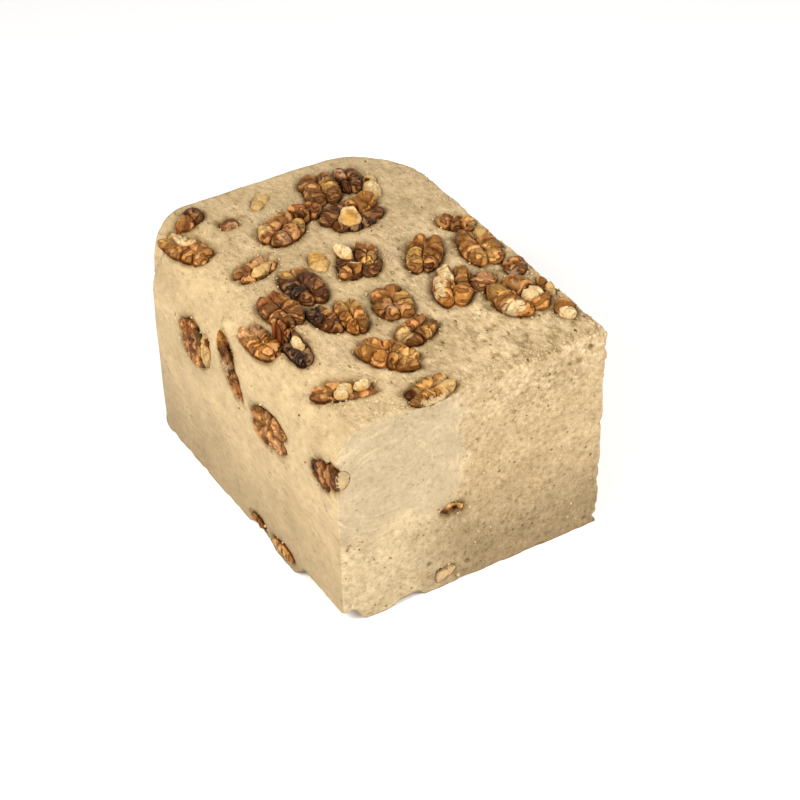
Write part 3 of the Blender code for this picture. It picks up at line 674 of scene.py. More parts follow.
def make_grain_group():
    """The grain of pressed halva: its colour and a height for the bump."""
    tree = bpy.data.node_groups.new("halva_grain", "ShaderNodeTree")
    for name, kind, way in (("Base", "Color", "INPUT"), ("Coarseness", "Float", "INPUT"),
                            ("Mottle", "Float", "INPUT"), ("Color", "Color", "OUTPUT"),
                            ("Height", "Float", "OUTPUT")):
        tree.interface.new_socket(name, in_out=way, socket_type="NodeSocket" + kind)
    given = tree.nodes.new("NodeGroupInput").outputs
    amount, mottled = given["Coarseness"], given["Mottle"]
    place = add_node(tree, "TexCoord").outputs["Object"]
    streaked = add_node(tree, "Mapping", {"Vector": place, "Rotation": (0, 0, STREAK_TURN),
                                          "Scale": (1, 1 / STREAK_LONG, 1)}).outputs[0]
    stray = add_node(tree, "TexNoise", {"Vector": place, "Scale": 900.0, "Detail": 1.0}).outputs["Color"]
    streaked = vector(tree, "ADD", streaked, vector(tree, "MULTIPLY", stray, (0.0011, 0.0011, 0.0011)))

    def crumbs(scale):
        """Round crumbs of this many to the metre: their height, and two numbers of each."""
        cells = add_node(tree, "TexVoronoi", {"Vector": streaked, "Scale": scale}).outputs
        numbers = add_node(tree, "SeparateColor", {"Color": cells["Color"]}).outputs
        return between(tree, cells["Distance"], 0.55, 0.0), numbers["Red"], numbers["Green"]

    grit, fibre = speckle(tree, streaked, 1250.0, 3.0, 0.65), speckle(tree, streaked, 370.0, 4.0, 0.65)
    wide, patchy = speckle(tree, streaked, 34.0, 3.0), speckle(tree, streaked, 95.0)
    broad, mottle = speckle(tree, streaked, 62.0), speckle(tree, streaked, 230.0, 5.0, 0.62)
    crumb, crumb_tone, crumb_kind = crumbs(620.0)
    large, large_tone, large_kind = crumbs(330.0)
    flake = times(tree, between(tree, crumb_tone, 0.8, 0.84), between(tree, crumb, 0.25, 0.6))
    body = between(tree, large, 0.45, 0.75)
    olive = times(tree, between(tree, large_tone, 0.88, 0.91), body, between(tree, patchy, 0.40, 0.56))
    gap = times(tree, between(tree, fibre, 0.40, 0.28), between(tree, patchy, 0.42, 0.60))
    pit = times(tree, between(tree, large_tone, 0.70, 0.74), body,
                between(tree, patchy, 0.44, 0.56), mottled)
    white_flake = times(tree, between(tree, large_kind, 0.60, 0.66), between(tree, large, 0.15, 0.4),
                        between(tree, patchy, 0.56, 0.44), mottled)
    drawn = add_node(tree, "Mapping", {"Vector": place, "Rotation": (0, 0, STREAK_TURN),
                                       "Scale": (1, 0.08, 1)})
    scratch = speckle(tree, drawn.outputs[0], 520.0)
    light_scratch = times(tree, between(tree, scratch, 0.56, 0.70), between(tree, patchy, 0.40, 0.6))
    dark_scratch = times(tree, between(tree, scratch, 0.42, 0.28), between(tree, patchy, 0.6, 0.4))
    colour = tinted(tree, given["Base"], (
        (between(tree, wide, 0.35, 0.65), (0.93, 0.93, 0.91)),
        (times(tree, between(tree, broad, 0.5, 0.68), amount), (1.10, 1.10, 1.10)),
        (times(tree, between(tree, broad, 0.5, 0.33), amount), (0.90, 0.885, 0.85)),
        (times(tree, between(tree, fibre, 0.5, 0.34), amount), (0.75, 0.735, 0.67)),
        (times(tree, between(tree, fibre, 0.52, 0.68), amount), (1.19, 1.20, 1.24)),
        (times(tree, between(tree, grit, 0.47, 0.33), amount), (0.76, 0.74, 0.66)),
        (times(tree, flake, amount), (1.22, 1.25, 1.30)),
        (times(tree, olive, amount), (0.46, 0.41, 0.27)),
        (times(tree, gap, amount), (0.62, 0.58, 0.46)),
        (times(tree, between(tree, mottle, 0.51, 0.64), mottled), (1.23, 1.26, 1.33)),
        (times(tree, between(tree, mottle, 0.49, 0.36), mottled), (0.60, 0.57, 0.46)),
        (pit, (0.42, 0.37, 0.25)),
        (white_flake, (1.25, 1.30, 1.42)),
        (light_scratch, (1.09, 1.10, 1.13)),
        (dark_scratch, (0.92, 0.91, 0.87)),
    ))
    height = times(tree, grit, 0.45)
    for part, share in ((fibre, 0.8), (times(tree, mottle, mottled), 0.5),
                        (times(tree, crumb, crumb_kind), 0.35), (times(tree, large, large_kind), 0.35)):
        height = calculate(tree, "ADD", height, times(tree, part, share))
    for part, share in ((olive, 0.4), (pit, 0.5)):
        height = calculate(tree, "SUBTRACT", height, times(tree, part, share))
    height = calculate(tree, "MULTIPLY", height, amount)
    set_inputs(tree, tree.nodes.new("NodeGroupOutput"), {"Color": colour, "Height": height})
    return tree


def make_halva_material():
    """Dense beige crumb, greyer and smoother where a knife smeared it, stained and with painted shade by a
    nut, and with painted shade towards the bottom.
    """
    material, tree, shader = new_material("pressed_halva")
    smeared, near_nut, moulded = painted(tree, "smear"), painted(tree, "near_nut"), painted(tree, "moulded")
    place = add_node(tree, "TexCoord").outputs["Object"]
    axes = add_node(tree, "SeparateXYZ", {"Vector": place}).outputs
    base = mix_colours(tree, moulded, (0.475, 0.345, 0.188, 1), (0.445, 0.325, 0.172, 1))
    base = mix_colours(tree, between(tree, smeared, 0.4, 0.9), base, (0.455, 0.35, 0.212, 1))
    on_cut = between(tree, moulded, 0, 1, 1, 0)
    # painted shade: the halva is darker towards the bottom, and more so low on the cut faces
    base = tinted(tree, base, (
        (between(tree, axes["Z"], 0.0, 0.075, 1.0, 0.0), (0.72, 0.705, 0.68)),
        (times(tree, between(tree, axes["Z"], 0.01, 0.07, 1.0, 0.0), on_cut), (0.86, 0.85, 0.83)),
    ))
    rim = times(tree, between(tree, smeared, 0.05, 0.35), between(tree, smeared, 0.95, 0.55), 0.8)
    base = mix_colours(tree, rim, base, (0.53, 0.41, 0.245, 1))
    from_middle = vector(tree, "SUBTRACT", place, [c * MM for c in SMEAR_MIDDLE])
    radius = vector(tree, "LENGTH", vector(tree, "MULTIPLY", from_middle, (1, 0, 1.15)), output="Value")
    turns = add_node(tree, "CombineXYZ", {"Y": calculate(tree, "MULTIPLY", radius, SMEAR_ARCS)}).outputs[0]
    along = vector(tree, "MULTIPLY", place, (45, 45, 45))
    arcs = speckle(tree, vector(tree, "ADD", along, turns), 1.0, 3.0, 0.65)
    low_left = times(tree, between(tree, axes["Z"], 0.084, 0.070), between(tree, axes["X"], -0.035, -0.052))
    broken = between(tree, speckle(tree, place, 70.0, 1.0), 0.42, 0.60)
    seen = times(tree, calculate(tree, "MAXIMUM", broken, low_left), between(tree, radius, 0.012, 0.03),
                 smeared)
    stains = speckle(tree, place, 60.0, 4.0, 0.6)
    base = tinted(tree, base, (
        (times(tree, between(tree, arcs, 0.50, 0.62), seen), (1.2, 1.205, 1.19)),
        (times(tree, between(tree, arcs, 0.46, 0.30), seen), (0.90, 0.88, 0.83)),
        (times(tree, between(tree, stains, 0.5, 0.68), moulded), (1.12, 1.11, 1.08)),
        (times(tree, between(tree, stains, 0.5, 0.33), moulded), (0.90, 0.89, 0.86)),
    ))
    smooth = calculate(tree, "MAXIMUM", times(tree, smeared, 0.8), times(tree, moulded, 0.75))
    grain = tree.nodes.new("ShaderNodeGroup")
    grain.node_tree = make_grain_group()
    set_inputs(tree, grain, {"Base": base, "Coarseness": between(tree, smooth, 0.0, 1.0, 1.0, 0.5),
                             "Mottle": painted(tree, "mottled")})
    colour = tinted(tree, grain.outputs["Color"], (
        # painted shade in the pits, darker with their depth
        (times(tree, between(tree, painted(tree, "hollow"), 0.1, 0.9), 0.75), (0.48, 0.43, 0.30)),
        (painted(tree, "flaky"), (1.2, 1.25, 1.36)),
        # oil and painted shade beside the kernels
        (times(tree, between(tree, near_nut, 0.0, 0.45), 0.6), (0.66, 0.62, 0.50)),
        (times(tree, between(tree, near_nut, 0.3, 1.0), 0.75), (0.5, 0.38, 0.24)),
    ))
    bump = add_node(tree, "Bump", {"Strength": 0.9, "Distance": 0.0012, "Height": grain.outputs["Height"]})
    set_inputs(tree, shader, {"Base Color": colour, "Roughness": between(tree, smooth, 0.0, 1.0, 0.86, 0.68),
                              "Specular IOR Level": 0.35, "Normal": bump.outputs["Normal"]})
    return material


halva = new_piece("block_of_halva", block, make_halva_material())
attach(halva, "root")
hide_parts("halva_block")

# The kernels' own meshes: two rows of plump lobes with folds between them, wrinkled skin over them,
# and cream-coloured flesh where the skin is rubbed off or the nut is broken.
TONES = {
    "amber": (0.235, 0.104, 0.024),
    "orange": (0.30, 0.130, 0.027),
    "gold": (0.36, 0.205, 0.058),
    "brown": (0.165, 0.069, 0.018),
    "russet": (0.20, 0.070, 0.019),
    "plum": (0.11, 0.040, 0.014),
    "dark": (0.082, 0.028, 0.006),
    "black": (0.026, 0.012, 0.006),
    "cream": (0.56, 0.425, 0.235),
    "pale": (0.42, 0.28, 0.115),
    "pink": (0.36, 0.19, 0.088),
    "cut": (0.40, 0.295, 0.16),
    "tan": (0.42, 0.225, 0.085),
}
LARGE = 19.0             # a kernel this long has the finer mesh
Patch = namedtuple("Patch", "across up reach tone")
PATCHES = {              # where a kernel has another tone; a small black one is painted shade in a hollow
    "top_01": ((-54, 104, 6, "black"), (-61, 96, 7, "amber"), (-52, 93, 6, "brown")),
    "top_02": ((-69, 91, 9, "gold"), (-63, 84, 7, "cream"), (-60, 70, 9, "amber")),
    "top_03": ((-38, 84, 4, "dark"), (-37, 77, 4, "pink")),
    "top_05": ((3, 67, 8, "russet"),),
    "top_06": ((-29, 60, 6, "pale"), (-17, 65, 7, "amber"), (-20, 49, 6, "pink"), (-8, 55, 6, "gold")),
    "top_07": ((36, 86, 6, "pink"),),
    "top_08": ((46, 79, 4, "gold"), (47, 75, 2.5, "dark"), (49, 68, 6, "cream")),
    "top_09": ((22, 38, 9, "black"),),
    "top_10": ((24, 80, 6, "gold"), (30, 93, 5, "pink"), (14, 80, 6, "brown")),
    "top_11": ((33, 58, 7, "orange"),),
    "top_12": ((22, 52, 8, "cream"), (18, 45, 5, "gold")),
    "top_13": ((-38, 42, 8, "pink"), (-52, 38, 8, "brown")),
    "top_14": ((-44, 32, 9, "pale"),),
    "top_15": ((-15, 24, 7, "gold"),),
    "top_17": ((14, 20, 6, "pink"), (8, 6, 6, "gold")),
    "top_18": ((1, 23, 9, "cream"),),
    "top_19": ((-7, 7, 6, "amber"), (-1, 8, 4, "cream")),
    "top_20": ((-28, 18, 6, "brown"), (-37, 17, 5, "gold"), (-30, 4, 6, "plum"), (-40, 4, 8, "black")),
    "top_21": ((-57, 3, 8, "russet"), (-45, -4, 7, "orange"), (-43, 3, 3, "cream")),
    "top_22": ((-42, -18, 10, "black"), (-33, -20, 6, "amber")),
    "top_23": ((-22, -24, 8, "gold"), (-28, -37, 8, "orange")),
    "top_24": ((-66, -45, 14, "black"), (-67, -18, 8, "plum")),
    "top_25": ((-62, -22, 8, "russet"),),
    "top_26": ((-74, -22, 7, "orange"), (-72, -8, 8, "pink")),
    "top_27": ((-62, -37, 3, "cream"),),
    "top_28": ((-70, -72, 8, "amber"), (-48, -84, 7, "russet")),
    "top_29": ((-61, -81, 3, "cream"),),
    "top_30": ((-51, -82, 3, "cream"),),
    "top_31": ((-37, -101, 6, "dark"), (-26, -102, 8, "gold"), (-14, -105, 8, "pale")),
    "top_32": ((-3, -53, 6, "russet"), (-12, -60, 5, "pale"), (1, -64, 5, "gold")),
    "top_33": ((-24, -55, 8, "orange"), (-21, -76, 7, "gold"), (-33, -66, 8, "orange")),
    "top_34": ((0, -21, 7, "brown"), (-5, -36, 6, "pink"), (4, -34, 6, "gold")),
    "top_35": ((44, 6, 8, "orange"), (28, -5, 7, "gold"), (31, -17, 6, "dark")),
    "top_36": ((30, -30, 7, "cream"), (23, -38, 5, "cream"), (41, -21, 9, "gold"),
               (27, -46, 8, "orange")),
    "top_37": ((42, -38, 5, "dark"), (51, -38, 6, "pink")),
    "top_38": ((72, 10, 5, "gold"),),
    "top_39": ((70, -2, 6, "pale"), (63, -20, 8, "gold")),
    "top_41": ((50, -54, 7, "gold"), (59, -53, 4, "black"), (47, -69, 5, "cream"), (58, -74, 8, "orange"),
               (69, -57, 6, "amber")),
    "top_42": ((64, -63, 8, "cream"),),
    "top_43": ((76, -66, 6, "pale"),),
    "top_44": ((70, -87, 7, "cream"), (71, -78, 6, "orange")),
    "left_01": ((48, 95, 9, "russet"), (41, 85, 9, "plum"), (36, 76, 7, "orange"), (33, 88, 4, "gold")),
    "left_02": ((29, 90, 10, "pale"), (24, 98, 4, "dark")),
    "left_03": ((5, 96, 5, "cut"), (-1, 106, 6, "dark"), (13, 112, 9, "orange"), (-3, 101, 6, "black"),
               (-10, 84, 11, "russet")),
    "left_04": ((-36, 88, 6, "amber"), (-41, 96, 6, "dark"), (-50, 80, 6, "pink")),
    "front_01": ((-15, 53, 4, "gold"), (-9, 53, 4, "gold"), (-19, 50, 3, "black"),
               (-12.5, 49.5, 3, "black")),
    "front_02": ((-18, 8.5, 14, "cut"),),
}


GYRUS, GYRUS_LONG, GYRUS_DEPTH = 3.2, 7.0, 1.8   # size and depth of the winding ridges of a lobe
FURROW = 0.3             # how quickly a ridge rises from the furrow beside it
FURROW_LINE = 0.24       # and the width of its bottom, painted dark with shade, in the same measure
WANDER, WANDER_SIZE = 1.5, 4.0                   # how far and how quickly the ridges wander
WANDER_SEED = 5          # without it the ridges would wander another way each run
WRINKLE, WRINKLE_DEPTH = 1.5, 0.3
CREASE_REACH, CREASE_DEPTH = 2.0, 1.2            # the creases between the lobes
CREASE_SHARPNESS = 2.2
RIM_FADE = 0.4                                   # the swellings are lower near the outline
KEPT = 0.3                                       # share of a lobe that no crease takes away
SEED_STEP = 3.7
FLESH_IN = 0.9                                   # how much skin and flesh has come off at a bare patch
FLESH_TILT = 0.55
BROKEN_ROUGH = 0.5                               # unevenness of broken flesh
FULL_RISE = 2.6                                  # kernels that stand out less have flatter ridges
FLUSH_RISE = 1.6                                 # these have crumbled
SHARD, SHARD_CRACK = 3.4, 0.9                    # into shards of this size, with cracks this deep
RIM_SHADE = 0.1                                   # the skin is painted dark with shade this near to the halva
noise.seed_set(WANDER_SEED)


def lobe_normal(spot, lobe):
    """The way out of a lobe at a place on it."""
    return (lobe.squeeze.transposed() @ (lobe.squeeze @ spot - lobe.middle)).normalized()


def flesh_breaks(nut, patches):
    """The flat breaks where a kernel's flesh is bare."""
    breaks = []
    for patch in patches:
        if patch.tone != "cream":
            continue
        kernel = nut.kernel._replace(across=patch.across, up=patch.up)
        start, way_in, _ = face_frame(kernel)
        toward = nut.inverse @ (start + way_in * RAY_REACH)
        x, y = toward.x / kernel.length * 2, toward.y / kernel.width * 2
        flat = Vector((x, y, FLESH_TILT)).normalized()
        way = Vector((flat.x * kernel.length / 2, flat.y * kernel.width / 2, flat.z * kernel.rise))
        way.normalize()
        end = max(lobe_end(way, lobe) for lobe in nut.lobes)
        facing = Vector((way.x / kernel.length ** 2, way.y / kernel.width ** 2,
                         way.z / kernel.rise ** 2 / 4)).normalized()
        breaks.append((facing, (way * end).dot(facing) - FLESH_IN))
    return breaks


def open_place(nut, patch):
    """The place on the lobes under a patch."""
    start, way_in, _ = face_frame(nut.kernel._replace(across=patch.across, up=patch.up))
    toward = nut.inverse @ (start + way_in * RAY_REACH)
    way = Vector((toward.x, toward.y, nut.kernel.rise)).normalized()
    return nut.matrix @ (way * max(lobe_end(way, lobe) for lobe in nut.lobes))


def kernel_surface(direction, nut, bare_breaks):
    """The kernel's surface this way, how much painted shade it gets in a fold and by the halva, its swelling
    and how bare it is.
    """
    kernel = nut.kernel
    half_length, half_width = kernel.length / 2, kernel.width / 2
    upper = direction.z >= 0
    smooth = direction * Vector((half_length, half_width, kernel.rise if upper else kernel.depth))
    if direction.z < -BOWL_FADE:
        return smooth, 0, 0, 0
    way = smooth.normalized() if upper else Vector((smooth.x, smooth.y, 0)).normalized()
    ends = [lobe_end(way, lobe) for lobe in nut.lobes]
    first, second = sorted(range(len(ends)), key=lambda i: -ends[i])[:2]
    end = ends[first]
    met = max(0, 1 - (end - ends[second]) / CREASE_REACH)
    if met > 0:
        out = lobe_normal(way * end, nut.lobes[first])
        turned = out.dot(lobe_normal(way * ends[second], nut.lobes[second]))
        met *= min(1, (1 - turned) * CREASE_SHARPNESS)
    apart = Vector((nut.seed * SEED_STEP, 0, 0))
    around = way * end + Vector((0, 0, min(0, smooth.z)))
    wavy = around + noise.noise_vector(around / WANDER_SIZE + apart) * WANDER
    winding = noise.noise(Vector((wavy.x / GYRUS, wavy.y / GYRUS_LONG, wavy.z / GYRUS)) + apart * 5)
    furrow = max(0, 1 - abs(winding) / FURROW) ** 2
    edge = max(0, 1 - abs(winding) / FURROW_LINE) ** 1.5
    wrinkle = 1 - 1.4 * abs(noise.noise(wavy / WRINKLE)) - 0.9 * abs(noise.noise(wavy / WRINKLE / 0.5))
    rim = 0.3 + 0.7 * min(1, max(0, direction.z) / RIM_FADE)
    smoothness = (0.45 if kernel.tone == "pale" else 1) * min(1, kernel.rise / FULL_RISE)
    swelling = GYRUS_DEPTH * furrow * (1 - 0.4 * met) * rim * smoothness
    sunk = CREASE_DEPTH * met ** 1.5 * smoothness + swelling + WRINKLE_DEPTH * wrinkle
    end = max(end * KEPT, end - sunk)
    across = hypot(way.x / half_length, way.y / half_width)
    share = min(1, end * across)
    # painted shade in the creases between the lobes and along the furrows
    fold = min(1, max(met ** 0.8, 0.75 * edge)) * smoothness
    # painted shade: the skin is darker just above the outline, where it meets the halva
    rim_shade = (0.35 if kernel.tone == "pale" else 0.75) * max(0, 1 - max(0, direction.z) / RIM_SHADE)
    if upper:
        spot = way * (share / across) if across > 0 else way * end
    else:
        spot = smooth * (share + (1 - share) * -direction.z / BOWL_FADE)
    for facing, distance in nut.breaks:
        spot -= facing * max(0, spot.dot(facing) - distance)
    bare = 0
    for facing, distance in bare_breaks:
        over = spot.dot(facing) - distance - BROKEN_ROUGH * noise.noise(spot / 1.3)
        if over > 0:
            spot -= facing * over
            bare = max(bare, min(1, over / 0.3))
    shard_tone = 0
    if kernel.rise < FLUSH_RISE and kernel.face != "front":
        cracked = spot + noise.noise_vector(spot / 1.4 + apart) * 0.9
        distances, middles = noise.voronoi(cracked / SHARD + apart)
        crack = max(0, 1 - (distances[1] - distances[0]) / 0.22)
        shard_tone = noise.noise(middles[0] * 5.3) * 2.6
        bare = max(bare, 0.6)
        if upper:
            spot.z = max(spot.z - SHARD_CRACK * crack + 0.25 * shard_tone, -kernel.depth * 0.5)
        # painted shade in the cracks between the shards
        fold = max(fold, 0.95 * crack)
    lobe_tone = noise.cell(Vector((first, nut.seed, 0.5)) * 3.3)
    tone = 0.9 * max(-1, min(1, winding / FURROW)) + 0.7 * lobe_tone + shard_tone
    return spot, max(fold * (1 - 0.7 * bare), rim_shade), tone, bare


def lighter(tone, by):
    """A tone made lighter or darker."""
    return Vector(TONES[tone]) * by


RUBBED = {"amber": 0.55, "brown": 0.5, "dark": 0.28, "pale": 0.0}   # how pale the skin is on the ridges

FACE_AXES = {"top": (0, 1), "left": (1, 2), "right": (1, 2), "front": (0, 2), "back": (0, 2)}


def skin_colour(nut, patches, place, swelling):
    """Colour of the skin or flesh at this place of the block, and how bare of skin it is."""
    kernel = nut.kernel
    colour = lighter(kernel.tone, 1)
    bare = 1.0 if kernel.tone == "pale" else 0.0
    a, b = FACE_AXES[kernel.face]
    wander = noise.noise_vector(place / 2.7) * 1.5
    for patch in patches:
        away = hypot(place[a] + wander.x - patch.across, place[b] + wander.y - patch.up)
        share = 1 - ease(0.62 * patch.reach, patch.reach, away)
        colour = colour.lerp(Vector(TONES[patch.tone]), share)
        flesh = 1.0 if patch.tone in ("cream", "pale") else 0.0
        bare += (flesh - bare) * share
    mottle = noise.noise(place / 1.9 + Vector((nut.seed, 0, 0)))
    rubbed = RUBBED[kernel.tone] * (1 - bare) * ease(0.2, 1.5, swelling + 0.8 * mottle)
    colour = colour.lerp(lighter("tan", 1), rubbed)
    return colour * (1 + 0.25 * mottle + (0.30 - 0.2 * bare) * swelling), bare


COAT = {"amber": 0.17, "brown": 0.2, "dark": 0.3, "pale": 0.0}


def make_walnut_material(tone):
    """Thin glossy skin with painted shade in its folds and fine veins, and matt flesh where it is bare."""
    material, tree, shader = new_material("walnut_skin_" + tone)
    place = add_node(tree, "TexCoord").outputs["Object"]
    fold, bare = painted(tree, "fold"), painted(tree, "bare")
    veins = speckle(tree, place, 700.0, 4.0, 0.65, 1.2)
    # painted shade: the skin is darkened by the fold value, in folds, creases, crevices and by the halva
    deep = times(tree, between(tree, fold, 0.0, 1.0), between(tree, bare, 0.0, 1.0, 0.95, 0.6))
    colour = tinted(tree, painted(tree, "skin", "Color"), (
        (between(tree, speckle(tree, place, 240.0), 0.35, 0.7), (1.3, 1.22, 1.1)),
        (times(tree, between(tree, veins, 0.52, 0.36), 0.5), (0.45, 0.36, 0.30)),
        (deep, (0.26, 0.105, 0.035)),
    ))
    matt = calculate(tree, "MAXIMUM", between(tree, bare, 0.0, 1.0, 0.40, 0.66),
                     between(tree, fold, 0.2, 0.8, 0.4, 0.8))
    coat = times(tree, between(tree, bare, 0.0, 0.8, COAT[tone], 0.0),
                 between(tree, fold, 0.0, 0.7, 1.0, 0.1))
    bump = add_node(tree, "Bump", {"Strength": 0.55, "Distance": 0.0004, "Height": veins})
    set_inputs(tree, shader, {
        "Base Color": colour, "Roughness": matt, "Specular IOR Level": 0.13,
        "Specular Tint": (1.0, 0.58, 0.28, 1), "Coat Weight": coat, "Coat Roughness": 0.13,
        "Normal": bump.outputs["Normal"],
    })
    return material


walnut_materials = {tone: make_walnut_material(tone) for tone in ("amber", "brown", "dark", "pale")}


LARGE_PATCH = 6          # a smaller black patch is a hollow between the lobes, painted black for its shade
HOLLOW_REACH, HOLLOW_DEPTH = 3.6, 2.2
UPWARDS = 0.45           # a kernel's mesh is finer above its outline, by the sphere's middle lying lower
CREVICE = 0.1            # the skin is painted dark with shade this near to another kernel's outline, as a share of it
CUT_RIM = 0.8            # width of the dark skin round a kernel's section on the cut front face


def add_kernel(nut, later):
    """One kernel, its mesh let down into the pockets of the kernels that lie on or against it."""
    kernel = nut.kernel
    patches = [Patch(*row) for row in PATCHES.get(kernel.name, ())]
    bare_breaks = flesh_breaks(nut, patches)
    hollows = [open_place(nut, patch) for patch in patches
               if patch.tone == "black" and patch.reach < LARGE_PATCH]
    ball = bmesh.new()
    bmesh.ops.create_icosphere(ball, subdivisions=6 if kernel.length >= LARGE else 5, radius=1)
    skin_layer = ball.verts.layers.float_color.new("skin")
    fold_layer = ball.verts.layers.float.new("fold")
    bare_layer = ball.verts.layers.float.new("bare")
    for vert in ball.verts:
        direction = (vert.co + Vector((0, 0, UPWARDS))).normalized()
        spot, fold, swelling, broken = kernel_surface(direction, nut, bare_breaks)
        place = nut.matrix @ spot
        for other in later:
            local = other.inverse @ place
            ratio = outline_ratio(local, other)
            # painted shade: the skin is darker beside another kernel's outline and where it is let down
            # under it
            if 1 <= ratio < 1 + CREVICE and local.z > 0:
                fold = max(fold, 0.85 * (1 + CREVICE - ratio) / CREVICE * min(1, local.z / 1.5))
            if ratio < 1:
                bowl = -(other.kernel.depth + GAP) * sqrt(1 - ratio * ratio)
                if local.z > bowl:
                    fold = max(fold, min(1, (local.z - bowl) / 0.9))
                    local.z = bowl
                    place = other.matrix @ local
        colour, bare = skin_colour(nut, patches, place, swelling)
        for hollow in hollows:
            away = (place - hollow).length / HOLLOW_REACH
            if away < 1:
                place -= nut.matrix.col[2].to_3d() * HOLLOW_DEPTH * (1 - away * away)
                # the hollow is sunk and painted darker for its shade
                fold = max(fold, 1 - away)
        if broken > 0 and kernel.rise > FLUSH_RISE:
            flesh = lighter("cream", 0.92 + 0.35 * noise.noise(place / 1.7))
            colour = colour.lerp(flesh if noise.noise(place / 3.1) < 0.25 else lighter("pale", 1), broken)
        over = -LENGTH / 2 - FLUSH - place.y
        if over > 0:
            place.y += over
            cut = ease(0.3 * CUT_RIM, CUT_RIM, over * (1 + noise.noise(place / 1.3)))
            cut = max(cut, 0.8 * ease(-0.15, 0.25, noise.noise(place / 1.9)))
            colour = Vector(TONES["dark"]).lerp(Vector(TONES["cut"]), cut)
            bare, fold = cut, 0
        vert[skin_layer] = (*colour, 1)
        vert[fold_layer] = fold
        vert[bare_layer] = max(bare, broken)
        vert.co = place * MM
    piece = new_piece("kernel_" + kernel.name, ball, walnut_materials[kernel.tone])
    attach(piece, "root")
    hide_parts("walnut_" + kernel.name)


for i, nut in enumerate(nuts):
    here, length = nut.matrix.translation, nut.kernel.length
    add_kernel(nut, [other for other in nuts[i + 1:]
                     if (other.matrix.translation - here).length < (other.kernel.length + length) / 2])

# The crumbs: bits of halva and of broken walnut that the knife and the nuts have loosened. They lie
# round the nuts and along the cut edges, stuck to the sugary halva.
CRUMB_SEED = 77
HALVA_CRUMB, WALNUT_CRUMB = (0.28, 0.95), (0.3, 0.8)    # radii
CRUMB_FLAT = (0.45, 0.9)
CRUMB_SUNK = 0.25        # share of a crumb that is in the halva
CRUMB_JITTER = 0.28
BY_NUT, BY_NUT_REACH = 11, 4.2      # crumbs by each nut, and how far from it
ON_TOP, ON_EDGE, ON_FRONT = 260, 240, 90
WALNUT_BITS, DARK_BITS = 70, 9


def clear_of_nuts(point):
    """Whether this place is on bare halva."""
    for nut in nuts:
        spot = nut.inverse @ point
        if abs(spot.z) < 9 and outline_ratio(spot, nut) < 1.04:
            return False
    return True


def scatter(name, places, sizes, material, draw):
    """One mesh of crumbs that lie where rays from these places first meet the halva."""
    shape = bmesh.new()
    for start, way_in in places:
        point, out, _, _ = ground.ray_cast(start * MM, way_in)
        if point is None or not clear_of_nuts(point / MM):
            continue
        radius = draw.uniform(*sizes) * draw.uniform(0.6, 1)
        flat = draw.uniform(*CRUMB_FLAT)
        turned = Vector((draw.gauss(0, 1), draw.gauss(0, 1), draw.gauss(0, 1))).to_track_quat("Z", "Y")
        long = Matrix.Diagonal((radius, radius * draw.uniform(0.6, 1), radius * flat, 1))
        lie = Matrix.Translation(point / MM + out * radius * (flat - CRUMB_SUNK))
        made = bmesh.ops.create_icosphere(shape, subdivisions=1, radius=1,
                                          matrix=lie @ turned.to_matrix().to_4x4() @ long)
        for vert in made["verts"]:
            jitter = Vector((draw.uniform(-1, 1), draw.uniform(-1, 1), draw.uniform(-1, 1)))
            vert.co += jitter * radius * CRUMB_JITTER
    bmesh.ops.scale(shape, vec=(MM, MM, MM), verts=shape.verts)
    piece = new_piece(name, shape, material, smooth=False)
    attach(piece, "root")


def places_by_nuts(count, reach, draw):
    """Places just outside the outlines of the nuts, over their faces."""
    places = []
    for nut in nuts:
        for _ in range(count):
            turn = draw.uniform(0, 2 * pi)
            way = Vector((cos(turn) * nut.kernel.length / 2, sin(turn) * nut.kernel.width / 2, 0))
            spot = way + way.normalized() * draw.uniform(0.2, reach) + Vector((0, 0, RAY_REACH))
            places.append((nut.matrix @ spot, -nut.matrix.col[2].to_3d()))
    return places


def places_over(count, low, high, way_in, draw):
    """Places in a box, from which rays go this way in."""
    return [(Vector([draw.uniform(a, b) for a, b in zip(low, high)]), Vector(way_in)) for _ in range(count)]


def make_crumb_material(name, colour, other):
    """Rough broken crumb, each one of its own tone."""
    material, tree, shader = new_material(name)
    place = add_node(tree, "TexCoord").outputs["Object"]
    tone = add_node(tree, "TexVoronoi", {"Vector": place, "Scale": 450.0}).outputs["Color"]
    tone = add_node(tree, "SeparateColor", {"Color": tone}).outputs["Red"]
    grain = speckle(tree, place, 1500.0)
    bump = add_node(tree, "Bump", {"Strength": 0.5, "Distance": 0.0004, "Height": grain})
    set_inputs(tree, shader, {"Base Color": mix_colours(tree, tone, (*colour, 1), (*other, 1)),
                              "Roughness": between(tree, grain, 0.3, 0.7, 0.7, 0.95),
                              "Normal": bump.outputs["Normal"]})
    return material


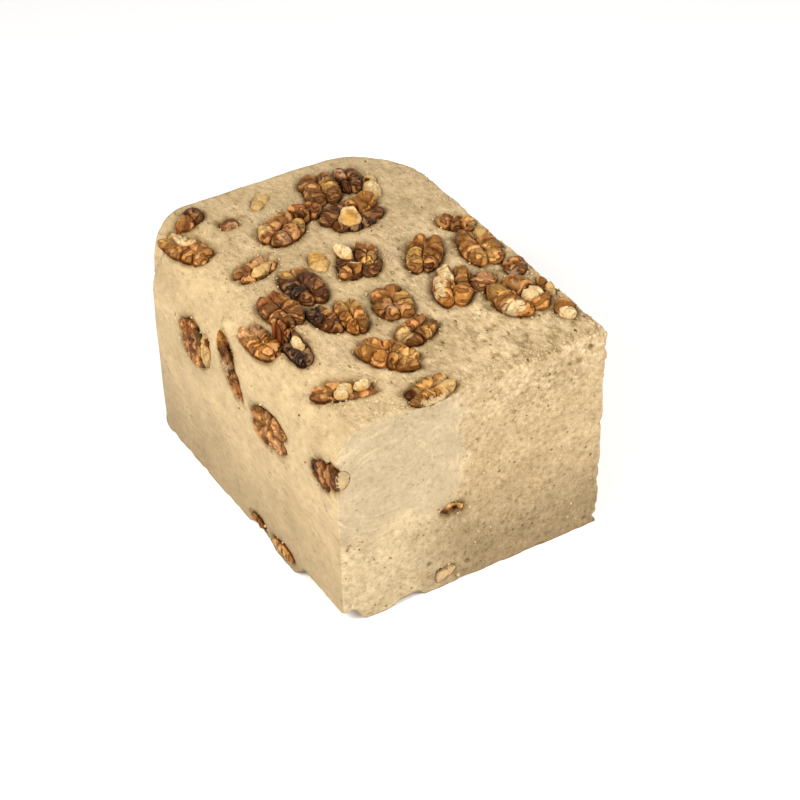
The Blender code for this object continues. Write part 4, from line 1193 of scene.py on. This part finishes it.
crumb_draw = Random(CRUMB_SEED)
over_top, over_front = HEIGHT + RAY_REACH, -LENGTH / 2 - RAY_REACH
halva_places = (
    places_by_nuts(BY_NUT, BY_NUT_REACH, crumb_draw)
    + places_over(ON_TOP, (-70, -107, over_top), (78, 105, over_top), (0, 0, -1), crumb_draw)
    + places_over(ON_EDGE, (-55, -109, over_top), (79, -100, over_top), (0, 0, -1), crumb_draw)
    + places_over(ON_EDGE, (72, -109, over_top), (79.5, 70, over_top), (0, 0, -1), crumb_draw)
    + places_over(ON_FRONT, (0, over_front, 10), (78, over_front, 120), (0, 1, 0), crumb_draw)
)
scatter("crumbs_of_halva", halva_places, HALVA_CRUMB,
        make_crumb_material("halva_crumbs", (0.40, 0.28, 0.14), (0.58, 0.45, 0.25)), crumb_draw)
scatter("crumbs_of_walnut", places_by_nuts(1, 5.5, crumb_draw)
        + places_over(WALNUT_BITS, (-70, -107, over_top), (78, 105, over_top), (0, 0, -1), crumb_draw)
        + places_over(DARK_BITS, (-77, over_front, 49), (-68, over_front, 58), (0, 1, 0), crumb_draw),
        WALNUT_CRUMB, make_crumb_material("walnut_crumbs", (0.12, 0.05, 0.02), (0.34, 0.16, 0.05)),
        crumb_draw)

# The studio: a plain pale floor under a bright even sky. A near soft light at the front left leaves
# the far and low parts darker, one at the front right lights the cut face, and a small one lights the
# rounded top left edge.
FLOOR_SIZE = 4.0
floor_shape = bmesh.new()
bmesh.ops.create_grid(floor_shape, x_segments=1, y_segments=1, size=FLOOR_SIZE)
floor_material, floor_tree, floor_shader = new_material("white_table")
set_inputs(floor_tree, floor_shader, {"Base Color": (0.94, 0.94, 0.94, 1), "Roughness": 0.9,
                                      "Emission Color": (1, 1, 1, 1), "Emission Strength": 0.06})
floor = new_piece("floor", floor_shape, floor_material, smooth=False)
floor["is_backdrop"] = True

world = bpy.data.worlds.new("studio")
world.use_nodes = True
set_inputs(world.node_tree, world.node_tree.nodes["Background"], {"Color": (1, 1, 1, 1), "Strength": 0.66})
bpy.context.scene.world = world

AIM = Vector((0, 0, 0.06))
LIGHT_COLOUR = (1.0, 0.97, 0.92)


def add_light(name, place, size, power):
    """A soft square light that looks at the block."""
    light = bpy.data.lights.new(name, "AREA")
    light.size = size
    light.energy = power
    light.color = LIGHT_COLOUR
    lamp = bpy.data.objects.new(name, light)
    lamp.location = place
    lamp.rotation_euler = (AIM - Vector(place)).to_track_quat("-Z", "Y").to_euler()
    bpy.context.scene.collection.objects.link(lamp)


add_light("window_light", (-0.68, -0.25, 0.72), 0.35, 7.5)
add_light("front_right_light", (0.35, -0.62, 0.55), 0.4, 5.1)
add_light("shoulder_light", (-0.27, 0.03, 0.30), 0.2, 0.35)

# The camera: it stands to the front left and looks down on the block, as in the photograph.
EYE = (-0.4974, -0.8357, 0.8052)
HEADING, PITCH = 31.87, 38.08     # degrees to the right of +Y, and below the horizon
LENS, SENSOR = 101.3, 36.0
camera_data = bpy.data.cameras.new("camera")
camera_data.sensor_width = SENSOR
camera_data.lens = LENS
camera = bpy.data.objects.new("camera", camera_data)
camera.location = EYE
camera.rotation_euler = (radians(90 - PITCH), 0, radians(-HEADING))
bpy.context.scene.collection.objects.link(camera)
bpy.context.scene.camera = camera
bpy.context.scene.view_settings.view_transform = "Standard"

low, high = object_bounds()
